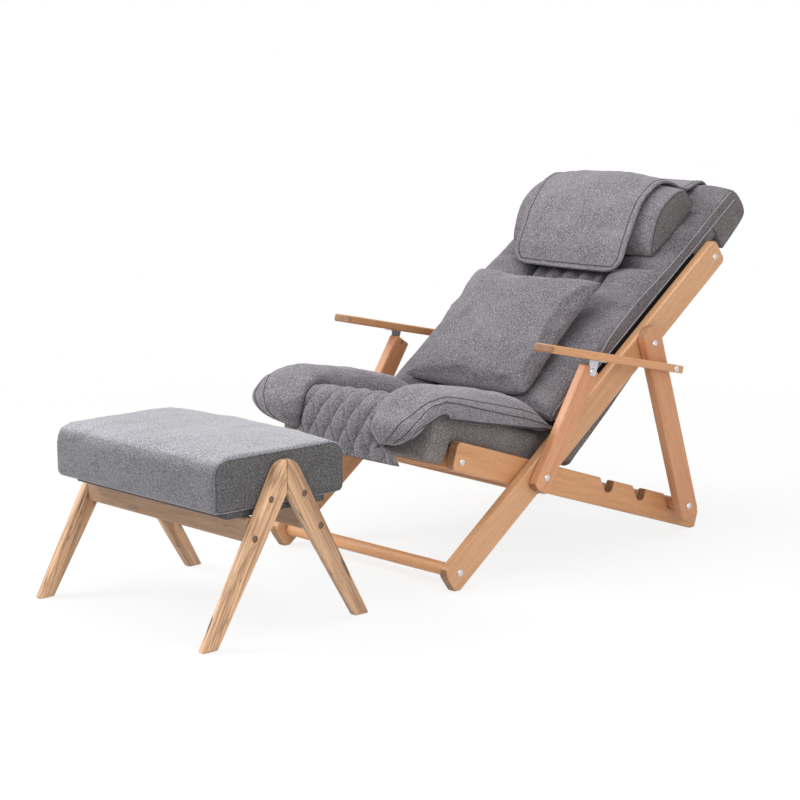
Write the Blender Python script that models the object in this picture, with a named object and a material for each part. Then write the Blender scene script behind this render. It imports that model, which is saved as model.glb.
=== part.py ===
"""Folding massage lounge chair with its footstool.

Wooden side rails cross at one pivot. A rear prop frame stands in notches of the base rails,
and an armrest linkage ties the prop to the pivot. Box cushions, a massage pad and pillows lie on top.
Metres, +Z up, the chair faces -Y, +X is the sitter's left. Each moving frame hangs on an empty on its axis,
and its pieces are drawn in that empty's own plane: X across, Y along the rail (u), Z square to it (n).
"""
import math
from math import atan2, cos, degrees, hypot, pi, radians, sin, sqrt, tan

import bmesh
import bpy
from mathutils import Vector

# Fits shared by all pieces
FIT = 0.0003
SOFT_FIT = 0.0005

# Side frames: boards, layers across the width and the pivot
BOARD = 0.024
RAIL_WIDTH = 0.064
EDGE_ROUND = 0.0035
LAYER_GAP = 0.002
BACK_OUTER = 0.290
PIVOT_Y = 0.0900
PIVOT_HEIGHT = 0.2138
BACK_LEAN = radians(36.1)
BASE_LEAN = radians(-17.7)
FOOT_FLAT = 0.016
END_ROUND = 0.012

# Back frame, measured from the pivot along the back rail
BACK_RAIL_TOP = 0.766
TOP_ROD_INSET = 0.025
TOP_ROD_RADIUS = 0.0125
LEG_PIVOT_U = 0.440
FOOT_ROD_INSET = 0.022
FOOT_ROD_RADIUS = 0.0145

# Base frame, measured from the pivot along the base rail
BASE_RAIL_FRONT = -0.242
FRONT_RAIL_U = -0.216
REAR_RAIL_U = 0.020
CROSS_RAIL_THICK = 0.022
CROSS_RAIL_BOTTOM = -0.030
CROSS_RAIL_TOP = 0.0095
SEAT_BOARD_THICK = 0.008
BAR_SEAT_U = 0.511
BAR_SEAT_N = 0.0165
BAR_RADIUS = 0.014
NOTCH_PITCH = 0.119
NOTCH_CLEARANCE = 0.0006
NOTCH_FRONT_RUN = 0.034
NOTCH_SLOPE = radians(225)
OPEN_SEAT_SLOPE = radians(7.0)

# Rear prop legs
LEG_WIDTH = 0.058
LEG_TOP_REACH = 0.040
LEG_FOOT_REACH = 0.028
LEG_ROUND = 0.026

# Arm posts and armrests
POST_LENGTH = 0.2602
POST_LEAN = radians(57.0)
POST_WIDTH = 0.047
POST_TOP_REACH = 0.0085
POST_FOOT_REACH = 0.034
ARM_LEAN = radians(-12.0)
ARM_DROP = 0.026
ARM_THICK = 0.018
ARM_REAR_WIDTH = 0.0315
ARM_FRONT_REACH = 0.179
ARM_WIDE_REACH = 0.115
ARM_BOLT_S = 0.2467
ARM_BOLT_END = 0.0303
ARM_SIDE_GAP = 0.0045
ARM_ROUND = 0.010
BRACKET_THICK = 0.002
BRACKET_TOP_WIDTH = 0.030
BRACKET_EYE = 0.010
BRACKET_FLANGE = 0.024

# Hardware
BOLT_RADIUS = 0.004
HEAD_RADIUS = 0.0078
HEAD_HEIGHT = 0.0026
SCREW_DEPTH = 0.040
WASHER_RADIUS = 0.013
ROUND_SIDES = 12
ROD_SIDES = 20

# Seat cushion and the massage pad on the seat
CUSHION_SIDE_GAP = 0.004
CUSHION_ROUND = 0.016
SEAT_FRONT = -0.300
SEAT_REAR = 0.046
SEAT_TOP = 0.095
SEAT_LIP_BOTTOM = -0.0255
SEAT_CROWN = 0.004
SEAT_PAD_OVERHANG = 0.036
SEAT_PAD_CENTRE = 0.012
SEAT_BOLSTER = 0.040
SEAT_BOLSTER_X = 0.200
SEAT_BOLSTER_SPREAD = 0.058
SEAT_BOLSTER_REAR = 0.16
SEAT_PAD_EDGE = 0.025
SEAT_PAD_DROOP = 0.025
SEAT_PAD_DROP = 0.146
SEAT_TONGUE_HALF = 0.135
SEAT_NOSE_START = 0.80
SEAT_NOSE_END = 0.93
SEAT_NOSE_LIP = 0.9
SEAT_PAD_REAR = 0.040
QUILT_STEP = 0.025
QUILT_DEPTH = 0.004

# Back cushion, the pad on it and the loose pillows
BACK_CUSHION_START = 0.118
BACK_CUSHION_FRONT = 0.012
BACK_CUSHION_REAR = -0.050
BACK_SAG = 0.062
CAP_CLEAR = 0.036
CAP_LENGTH = 0.1185
CAP_FRONT = 0.068
CAP_REAR = -0.029
BACKING_TOP = 0.041
PAD_SIDE_GAP = 0.004
BACK_PAD_CENTRE = 0.030
BACK_BOLSTER = 0.020
BACK_BOLSTER_X = 0.190
PAD_EDGE = 0.027
MOTOR_RADIUS = 0.031
MOTOR_ROWS = (0.30, 0.52)
LUMBAR_HALF = 0.202
LUMBAR_LENGTH = 0.346
LUMBAR_THICK = 0.105
LUMBAR_START = 0.140
LUMBAR_TILT = radians(6.5)
LUMBAR_SEAT = 0.0108
LUMBAR_FLAT = 0.017
HEAD_PILLOW_HALF = 0.224
HEAD_PILLOW_START = 0.618
HEAD_PILLOW_LENGTH = 0.196
HEAD_PILLOW_THICK = 0.092
HEAD_PILLOW_CREST = 0.71
FLAP_HALF = 0.176
FLAP_THICK = 0.005
FLAP_HANG = 0.058
FLAP_LIFT = 0.0015

# Footstool
STOOL_Y = -0.6229
STOOL_OUTER = 0.2845
STOOL_BOARD = 0.0205
STOOL_FOOT_REACH = 0.216
STOOL_FOOT_WIDTH = 0.037
STOOL_TILT = radians(29.0)
STOOL_CROTCH = 0.2836
STOOL_TOP_ROUND = 0.0367
STOOL_RAIL_THICK = 0.022
STOOL_RAIL_TOP = 0.243
STOOL_RAIL_HEIGHT = 0.049
STOOL_RAIL_OFFSET = 0.078
STOOL_PANEL = 0.0145
STOOL_PANEL_HALF_Y = 0.125
STOOL_CUSHION_HALF_Y = 0.168
STOOL_CUSHION_HEIGHT = 0.107
STOOL_CUSHION_ROUND = 0.036
STOOL_LOW_ROUND = 0.016
STOOL_SEAM_ROUND = 0.006
STOOL_CROWN = 0.010
RECESS_RADIUS = 0.0072
SCREW_RECESS = 0.005
RECESS_HEIGHTS = (0.277, 0.205)
RECESS_SHARE = 0.66
STOOL_EDGE_ROUND = 0.0045

# Layers across the width, worked out from the boards
BACK_INNER = BACK_OUTER - BOARD
BASE_OUTER = BACK_INNER - LAYER_GAP
BASE_INNER = BASE_OUTER - BOARD
LEG_INNER = BACK_OUTER + LAYER_GAP
LEG_OUTER = LEG_INNER + BOARD
ARM_INNER = LEG_OUTER + ARM_SIDE_GAP
ARM_OUTER = ARM_INNER + ARM_REAR_WIDTH
ARM_REAR_REACH = ARM_BOLT_S + ARM_BOLT_END
HALF_RAIL = RAIL_WIDTH / 2
CUSHION_HALF = BASE_INNER - CUSHION_SIDE_GAP
SEAT_PAD_HALF = CUSHION_HALF + SEAT_PAD_OVERHANG
PAD_HALF = BACK_INNER - PAD_SIDE_GAP
TOP_ROD_U = BACK_RAIL_TOP - TOP_ROD_INSET
FOOT_ROD_U = -(PIVOT_HEIGHT - HALF_RAIL * cos(BACK_LEAN)) / sin(BACK_LEAN) + FOOT_ROD_INSET
CAP_START = BACK_RAIL_TOP + CAP_CLEAR
CAP_END = CAP_START + CAP_LENGTH
SIDES = (("left", 1), ("right", -1))

MATERIALS = {
    "beech": ((0.60, 0.33, 0.17), 0.45, 0.0),
    "ash": ((0.68, 0.47, 0.29), 0.50, 0.0),
    "plywood": ((0.62, 0.46, 0.30), 0.60, 0.0),
    "steel": ((0.72, 0.72, 0.73), 0.25, 1.0),
    "zinc": ((0.66, 0.68, 0.72), 0.35, 1.0),
    "nylon": ((0.05, 0.05, 0.05), 0.50, 0.0),
    "grey_chenille": ((0.135, 0.130, 0.140), 0.95, 0.0),
    "light_chenille": ((0.200, 0.200, 0.215), 0.95, 0.0),
    "black_fabric": ((0.015, 0.015, 0.016), 0.95, 0.0),
    "motor_case": ((0.08, 0.08, 0.09), 0.40, 0.0),
}


def clear_scene():
    for item in list(bpy.data.objects):
        bpy.data.objects.remove(item, do_unlink=True)


def material(name):
    found = bpy.data.materials.get(name)
    if found:
        return found
    colour, roughness, metallic = MATERIALS[name]
    made = bpy.data.materials.new(name)
    made.use_nodes = True
    shader = made.node_tree.nodes["Principled BSDF"]
    shader.inputs["Base Color"].default_value = (*colour, 1.0)
    shader.inputs["Roughness"].default_value = roughness
    shader.inputs["Metallic"].default_value = metallic
    return made


def axis_empty(name, parent, location, turn):
    """An empty on a joint's axis; turn is about X, counted from its parent."""
    empty = bpy.data.objects.new(name, None)
    bpy.context.collection.objects.link(empty)
    empty.parent = parent
    empty.location = location
    empty.rotation_euler = (turn, 0.0, 0.0)
    return empty


def finish(name, bm, look, parent, smooth_angle=35.0):
    """Turn a bmesh into a named, smooth-shaded object under its frame's empty."""
    bmesh.ops.recalc_face_normals(bm, faces=bm.faces)
    if bm.calc_volume(signed=True) < 0:
        bmesh.ops.reverse_faces(bm, faces=bm.faces)
    mesh = bpy.data.meshes.new(name)
    bm.to_mesh(mesh)
    bm.free()
    mesh.materials.append(material(look))
    mesh.shade_smooth()
    mesh.set_sharp_from_angle(angle=radians(smooth_angle))
    item = bpy.data.objects.new(name, mesh)
    bpy.context.collection.objects.link(item)
    item.parent = parent
    return item


def fillet(corners, steps=4):
    """An outline from (u, n, radius) corners, each rounded by an arc."""
    outline = []
    count = len(corners)
    for index, (u, n, radius) in enumerate(corners):
        here = Vector((u, n))
        to_last = (Vector(corners[index - 1][:2]) - here).normalized()
        to_next = (Vector(corners[(index + 1) % count][:2]) - here).normalized()
        if radius <= 0.0:
            outline.append((u, n))
            continue
        half = to_last.angle(to_next) / 2
        reach = radius / tan(half)
        centre = here + (to_last + to_next).normalized() * (radius / sin(half))
        start = here + to_last * reach - centre
        sweep = start.angle_signed(here + to_next * reach - centre)
        for step in range(steps + 1):
            turn = -sweep * step / steps
            outline.append((centre.x + start.x * cos(turn) - start.y * sin(turn),
                            centre.y + start.x * sin(turn) + start.y * cos(turn)))
    return outline


def prism(bm, outline, low, high, place):
    """A closed prism: place(outline point, depth) gives its corners."""
    near = [bm.verts.new(place(point, low)) for point in outline]
    far = [bm.verts.new(place(point, high)) for point in outline]
    bm.faces.new(near)
    bm.faces.new(far)
    for index in range(len(outline)):
        nxt = (index + 1) % len(outline)
        bm.faces.new((near[index], near[nxt], far[nxt], far[index]))


def across(point, depth):
    return (depth, point[0], point[1])


def lathe(bm, profile, along, centre, sides=ROUND_SIDES):
    """Spin (position, radius) points about the X, Y or Z direction named by along."""
    rings = []
    for position, radius in profile:
        ring = []
        turns = sides if radius > 0 else 1
        for side in range(turns):
            angle = 2 * pi * side / sides
            spot = [radius * cos(angle), radius * sin(angle)]
            spot.insert(along, position)
            ring.append(bm.verts.new([a + b for a, b in zip(spot, centre)]))
        rings.append(ring)
    for first, second in zip(rings, rings[1:]):
        for side in range(sides):
            nxt = (side + 1) % sides
            corners = [first[side % len(first)], first[nxt % len(first)],
                       second[nxt % len(second)], second[side % len(second)]]
            unique = list(dict.fromkeys(corners))
            if len(unique) > 2:
                bm.faces.new(unique)


def round_edges(item, width=EDGE_ROUND, segments=2):
    bevel = item.modifiers.new("round_edges", "BEVEL")
    bevel.width = width
    bevel.segments = segments
    bevel.limit_method = "ANGLE"
    bevel.angle_limit = radians(50)


def cut(item, bm, name):
    """Take the closed shapes of bm out of a piece."""
    cutter = finish(name, bm, "nylon", item.parent)
    cutter.hide_render = True
    cutter.display_type = "WIRE"
    boolean = item.modifiers.new(name, "BOOLEAN")
    boolean.operation = "DIFFERENCE"
    boolean.solver = "EXACT"
    boolean.object = cutter


def bore(item, spots, low, high, radius, along=0, sides=ROUND_SIDES):
    """Round holes through a piece; spots are their centres."""
    bm = bmesh.new()
    for spot in spots:
        lathe(bm, [(low, 0), (low, radius), (high, radius), (high, 0)], along, spot, sides)
    cut(item, bm, item.name + "_bores")


def side_board(name, outline, inner, outer, side, parent, look="beech", holes=()):
    """A board on one side of the chair, with its bolt holes given as (u, n)."""
    bm = bmesh.new()
    prism(bm, outline, side * inner, side * outer, across)
    item = finish(name, bm, look, parent)
    round_edges(item)
    if holes:
        margin = BOARD
        bore(item, [(0, u, n) for u, n in holes], min(side * inner, side * outer) - margin,
             max(side * inner, side * outer) + margin, BOLT_RADIUS + FIT)
    return item


def bolt(name, side, face, tip, u, n, parent):
    """A dome-headed bolt whose head sits on an outer face and whose shank ends at tip."""
    bm = bmesh.new()
    dome = [(face + HEAD_HEIGHT, 0), (face + HEAD_HEIGHT, HEAD_RADIUS * 0.45),
            (face + HEAD_HEIGHT * 0.7, HEAD_RADIUS * 0.8), (face + FIT + HEAD_HEIGHT * 0.1, HEAD_RADIUS),
            (face + FIT, HEAD_RADIUS), (face + FIT, BOLT_RADIUS), (tip, BOLT_RADIUS), (tip, 0)]
    lathe(bm, [(side * x, r) for x, r in dome], 0, (0, u, n))
    return finish(name, bm, "steel", parent)


def washer(name, side, low, u, n, parent):
    """A ring that fills the gap between two boards round a bolt."""
    bm = bmesh.new()
    near = low + FIT
    far = low + LAYER_GAP - FIT
    hole = BOLT_RADIUS + FIT
    section = [(side * x, r) for x, r in ((near, hole), (near, WASHER_RADIUS), (far, WASHER_RADIUS), (far, hole))]
    loops = []
    for side in range(ROUND_SIDES):
        angle = 2 * pi * side / ROUND_SIDES
        loops.append([bm.verts.new((x, u + r * cos(angle), n + r * sin(angle))) for x, r in section])
    for side in range(ROUND_SIDES):
        here = loops[side]
        there = loops[(side + 1) % ROUND_SIDES]
        for index in range(len(section)):
            nxt = (index + 1) % len(section)
            bm.faces.new((here[index], here[nxt], there[nxt], there[index]))
    return finish(name, bm, "nylon", parent)


def cross_rod(name, half, radius, u, n, parent):
    """A round rod between two boards, with a blind screw hole in each end."""
    chamfer = radius * 0.12
    hole = BOLT_RADIUS + FIT
    depth = SCREW_DEPTH + FIT
    profile = [(-half + depth, 0), (-half + depth, hole), (-half, hole), (-half, radius - chamfer),
               (-half + chamfer, radius), (half - chamfer, radius), (half, radius - chamfer), (half, hole),
               (half - depth, hole), (half - depth, 0)]
    bm = bmesh.new()
    lathe(bm, profile, 0, (0, u, n), ROD_SIDES)
    return finish(name, bm, "beech", parent)


def box_solid(name, low, high, look, parent, rounding):
    bm = bmesh.new()
    outline = [(low[1], low[2]), (high[1], low[2]), (high[1], high[2]), (low[1], high[2])]
    prism(bm, outline, low[0], high[0], across)
    item = finish(name, bm, look, parent)
    if rounding:
        round_edges(item, rounding)
    return item


def stations(half, rounding, inner):
    """Lattice stops along one half-length, closer together in the rounded ends."""
    flat = half - rounding
    stops = [-half, -half + rounding * 0.3]
    stops += [-flat + 2 * flat * step / inner for step in range(inner + 1)]
    return stops + [half - rounding * 0.3, half]


def lattice_shell(bm, axes, shape):
    """The surface of a box lattice; shape moves each stop (x, u, n) to its place."""
    limits = [len(axis) - 1 for axis in axes]
    corners = {}

    def corner(key):
        if key not in corners:
            corners[key] = bm.verts.new(shape(*(axis[index] for axis, index in zip(axes, key))))
        return corners[key]

    for fixed in range(3):
        first, second = [axis for axis in range(3) if axis != fixed]
        for level in (0, limits[fixed]):
            for i in range(limits[first]):
                for j in range(limits[second]):
                    quad = []
                    for di, dj in ((0, 0), (1, 0), (1, 1), (0, 1)):
                        key = [0, 0, 0]
                        key[fixed] = level
                        key[first] = i + di
                        key[second] = j + dj
                        quad.append(corner(tuple(key)))
                    bm.faces.new(quad)


def rounded_place(x, u, n, halves, rounding):
    """Pull a point of a box's surface onto its rounded edges."""
    inner = [max(-half + rounding, min(half - rounding, value)) for half, value in zip(halves, (x, u, n))]
    away = Vector((x, u, n)) - Vector(inner)
    if away.length > 0:
        away = away.normalized() * rounding
    return Vector(inner) + away


def box_cushion(name, half_x, span_u, span_n, rounding, crown, look, parent, counts, reshape=None, draw=0.25):
    """A crowned box cushion: flat underneath, sides drawn in between its corners."""
    half_u = (span_u[1] - span_u[0]) / 2
    half_n = (span_n[1] - span_n[0]) / 2
    middle = Vector((0, sum(span_u) / 2, sum(span_n) / 2))
    halves = (half_x, half_u, half_n)
    draw_in = rounding * draw

    def shape(x, u, n):
        spot = rounded_place(x, u, n, halves, rounding)
        bow_x = 1 - (spot.x / half_x) ** 2
        bow_u = 1 - (spot.y / half_u) ** 2
        rise = (spot.z + half_n) / (2 * half_n)
        waist = 1 - (2 * rise - 1) ** 2
        spot.z += crown * bow_x * bow_u * rise
        spot.x -= math.copysign(draw_in * waist, spot.x) * bow_u * abs(spot.x / half_x)
        spot.y -= math.copysign(draw_in * waist, spot.y) * bow_x * abs(spot.y / half_u)
        spot += middle
        return reshape(spot) if reshape else spot

    bm = bmesh.new()
    lattice_shell(bm, [stations(half, rounding, count) for half, count in zip(halves, counts)], shape)
    return finish(name, bm, look, parent, 60.0)


def wrapped_cushion(name, half_x, half_u, span_n, roundings, seam, crown, look, parent):
    """A foam block whose cover wraps round four sides, with a flat panel sewn into each end."""
    half_n = (span_n[1] - span_n[0]) / 2
    middle_n = sum(span_n) / 2

    def shape(x, u, n):
        share = max(abs(u) / half_u, abs(n) / half_n)
        spot = Vector((0.0, 0.0))
        rounding = roundings[1] if n > 0 else roundings[0]
        if share > 0:
            edge = Vector((u / share, n / share))
            core = Vector((max(rounding - half_u, min(half_u - rounding, edge.x)),
                           max(rounding - half_n, min(half_n - rounding, edge.y))))
            away = edge - core
            if away.length > 0:
                away = away.normalized() * rounding
            spot = (core + away) * share
        end = max(0.0, abs(x) - half_x + seam) / seam
        pull = 1 - seam * (1 - sqrt(max(0.0, 1 - end ** 2))) / half_n
        rise = (spot.y + half_n) / (2 * half_n)
        bow = (1 - (x / half_x) ** 4) * (1 - (spot.x / half_u) ** 2)
        return (x, spot.x * pull, middle_n + spot.y * pull + crown * bow * rise)

    bm = bmesh.new()
    stops_x = [-half_x, -half_x + seam * 0.3] + [(half_x - seam) * (step / 4 - 1) for step in range(9)]
    stops_x += [half_x - seam * 0.3, half_x]
    low, high = roundings
    arc = [high * (1 - cos(pi / 4 * step / 2)) for step in range(3)]
    stops_u = [-half_u + reach for reach in arc] + [-half_u + high]
    stops_u += [(half_u - high) * (step / 2 - 1) for step in range(1, 4)]
    stops_u += [half_u - high] + [half_u - reach for reach in reversed(arc)]
    stops_n = [-half_n, -half_n + low * 0.3, -half_n + low, half_n - high]
    stops_n += [half_n - reach for reach in reversed(arc)]
    lattice_shell(bm, [stops_x, stops_u, stops_n], shape)
    return finish(name, bm, look, parent, 60.0)


def draped_pad(name, half_x, columns, path, thickness, look, parent, quilted=None, droop=None):
    """A pad laid along a path of (u, n) points in the side plane, with its thickness set by a rule.

    thickness(x, share of the length) is counted square to the path. quilted(x, share) says where the
    cover is sewn into diamonds, and droop(x, share) how far the underside hangs below the path.
    """
    rows = len(path) - 1
    bm = bmesh.new()
    under = []
    over = []
    for row, (u, n) in enumerate(path):
        before = Vector(path[max(row - 1, 0)])
        after = Vector(path[min(row + 1, rows)])
        run = (after - before).normalized()
        square = Vector((run.y, -run.x))
        low_row = []
        high_row = []
        for column in range(columns + 1):
            share = row / rows
            width = half_x(share) if callable(half_x) else half_x
            x = width * (2 * column / columns - 1)
            rise = thickness(x / width, share)
            if quilted and quilted(x, share) and (row + column) % 2 == 0:
                rise -= QUILT_DEPTH
            fall = droop(x, share) if droop else 0.0
            low_row.append(bm.verts.new((x, u - square.x * fall, n - square.y * fall)))
            high_row.append(bm.verts.new((x, u + square.x * rise, n + square.y * rise)))
        under.append(low_row)
        over.append(high_row)
    for row in range(rows):
        for column in range(columns):
            quad = ((row, column), (row, column + 1), (row + 1, column + 1), (row + 1, column))
            bm.faces.new([under[i][j] for i, j in quad])
            turned = quad if (row + column) % 2 == 0 else quad[1:] + quad[:1]
            tops = [over[i][j] for i, j in turned]
            bm.faces.new((tops[0], tops[1], tops[2]))
            bm.faces.new((tops[0], tops[2], tops[3]))
    rim = [(0, column) for column in range(columns)] + [(row, columns) for row in range(rows)]
    rim += [(rows, column) for column in range(columns, 0, -1)] + [(row, 0) for row in range(rows, 0, -1)]
    for index, (i, j) in enumerate(rim):
        k, m = rim[(index + 1) % len(rim)]
        bm.faces.new((under[i][j], under[k][m], over[k][m], over[i][j]))
    return finish(name, bm, look, parent, 60.0)


def smooth_path(knots, count):
    """Evenly spread points on a Catmull-Rom curve through (u, n) knots."""
    spots = [Vector(knot) for knot in knots]
    spots = [2 * spots[0] - spots[1]] + spots + [2 * spots[-1] - spots[-2]]
    fine = []
    samples = 24
    for index in range(1, len(spots) - 2):
        a, b, c, d = spots[index - 1:index + 3]
        for step in range(samples):
            t = step / samples
            fine.append(0.5 * (2 * b + (c - a) * t + (2 * a - 5 * b + 4 * c - d) * t ** 2
                               + (3 * b - a - 3 * c + d) * t ** 3))
    fine.append(spots[-2])
    reach = [0.0]
    for first, second in zip(fine, fine[1:]):
        reach.append(reach[-1] + (second - first).length)
    result = []
    cursor = 0
    for step in range(count + 1):
        goal = reach[-1] * step / count
        while cursor < len(reach) - 2 and reach[cursor + 1] < goal:
            cursor += 1
        share = (goal - reach[cursor]) / max(reach[cursor + 1] - reach[cursor], 1e-9)
        spot = fine[cursor].lerp(fine[cursor + 1], min(max(share, 0.0), 1.0))
        result.append((spot.x, spot.y))
    return result


def in_frame(lean, u, n):
    """World (y, z) of a point in a frame turned about the main pivot."""
    return (PIVOT_Y + u * cos(lean) - n * sin(lean), PIVOT_HEIGHT + u * sin(lean) + n * cos(lean))


def floor_reach(lean, n):
    """How far along a frame's rail the line at height n meets the floor."""
    return -(PIVOT_HEIGHT + n * cos(lean)) / sin(lean)


def notch(seat_u, last_angle, steps=5):
    """A rod seat in the rail's top edge: a slanted front, then an arc to last_angle."""
    radius = BAR_RADIUS + NOTCH_CLEARANCE
    points = [(seat_u - NOTCH_FRONT_RUN, HALF_RAIL)]
    for step in range(steps + 1):
        angle = NOTCH_SLOPE + (last_angle - NOTCH_SLOPE) * step / steps
        points.append((seat_u + radius * cos(angle), BAR_SEAT_N + radius * sin(angle)))
    return points


def base_rail_outline():
    """Front end, floor foot, open rear seat with its ramp, then the two closed notches."""
    floor_u = floor_reach(BASE_LEAN, -HALF_RAIL)
    toe = (floor_u + FOOT_FLAT * cos(BASE_LEAN), -HALF_RAIL - FOOT_FLAT * sin(BASE_LEAN))
    ramp_start = notch(BAR_SEAT_U, 1.5 * pi + OPEN_SEAT_SLOPE)
    ramp_end_n = ramp_start[-1][1] + (toe[0] - ramp_start[-1][0]) * tan(OPEN_SEAT_SLOPE)
    lower = fillet([(BASE_RAIL_FRONT, HALF_RAIL, END_ROUND), (BASE_RAIL_FRONT, -HALF_RAIL, END_ROUND),
                    (floor_u, -HALF_RAIL, 0), (toe[0], toe[1], 0), (toe[0], ramp_end_n, END_ROUND * 0.4),
                    (ramp_start[-1][0], ramp_start[-1][1], 0)])
    upper = []
    for step in range(3):
        seat_u = BAR_SEAT_U - step * NOTCH_PITCH
        if step == 0:
            upper += list(reversed(ramp_start[:-1]))
        else:
            closed = notch(seat_u, 2 * pi)
            upper.append((closed[-1][0], HALF_RAIL))
            upper += list(reversed(closed))
    return lower + upper


def back_rail_outline():
    floor_u = floor_reach(BACK_LEAN, -HALF_RAIL)
    toe = (floor_u - FOOT_FLAT * cos(BACK_LEAN), -HALF_RAIL + FOOT_FLAT * sin(BACK_LEAN))
    return fillet([(floor_u, -HALF_RAIL, 0), (BACK_RAIL_TOP, -HALF_RAIL, END_ROUND),
                   (BACK_RAIL_TOP, HALF_RAIL, END_ROUND), (toe[0], HALF_RAIL, END_ROUND * 1.5),
                   (toe[0], toe[1], 0)])


def build_base(frame):
    cross_n = (CROSS_RAIL_BOTTOM + CROSS_RAIL_TOP) / 2
    for word, side in SIDES:
        side_board("base_rail_" + word, base_rail_outline(), BASE_INNER, BASE_OUTER, side, frame,
                   holes=[(0, 0), (FRONT_RAIL_U, cross_n)])
        bolt("seat_screw_" + word, side, BASE_OUTER, BASE_INNER - SCREW_DEPTH, FRONT_RAIL_U, cross_n, frame)
        bolt("pivot_bolt_" + word, side, LEG_OUTER, BASE_INNER + FIT, 0.0, 0.0, frame)
        washer("pivot_washer_inner_" + word, side, BASE_OUTER, 0.0, 0.0, frame)
        washer("pivot_washer_outer_" + word, side, BACK_OUTER, 0.0, 0.0, frame)
    half = BASE_INNER - FIT
    for name, u in (("seat_front_rail", FRONT_RAIL_U), ("seat_rear_rail", REAR_RAIL_U)):
        rail = box_solid(name, (-half, u - CROSS_RAIL_THICK / 2, CROSS_RAIL_BOTTOM),
                         (half, u + CROSS_RAIL_THICK / 2, CROSS_RAIL_TOP), "beech", frame, 0.003)
        if u == FRONT_RAIL_U:
            bm = bmesh.new()
            for _, side in SIDES:
                hole = ((half - SCREW_DEPTH - FIT, 0), (half - SCREW_DEPTH - FIT, BOLT_RADIUS + FIT),
                        (half + BOARD, BOLT_RADIUS + FIT), (half + BOARD, 0))
                lathe(bm, [(side * x, r) for x, r in hole], 0, (0, u, cross_n))
            cut(rail, bm, name + "_bores")
    board_low = CROSS_RAIL_TOP + FIT
    box_solid("seat_board", (-half, FRONT_RAIL_U - CROSS_RAIL_THICK / 2, board_low),
              (half, REAR_RAIL_U + CROSS_RAIL_THICK / 2, board_low + SEAT_BOARD_THICK), "plywood", frame, 0.0015)
    build_seat(frame, board_low + SEAT_BOARD_THICK + SOFT_FIT)


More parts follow.
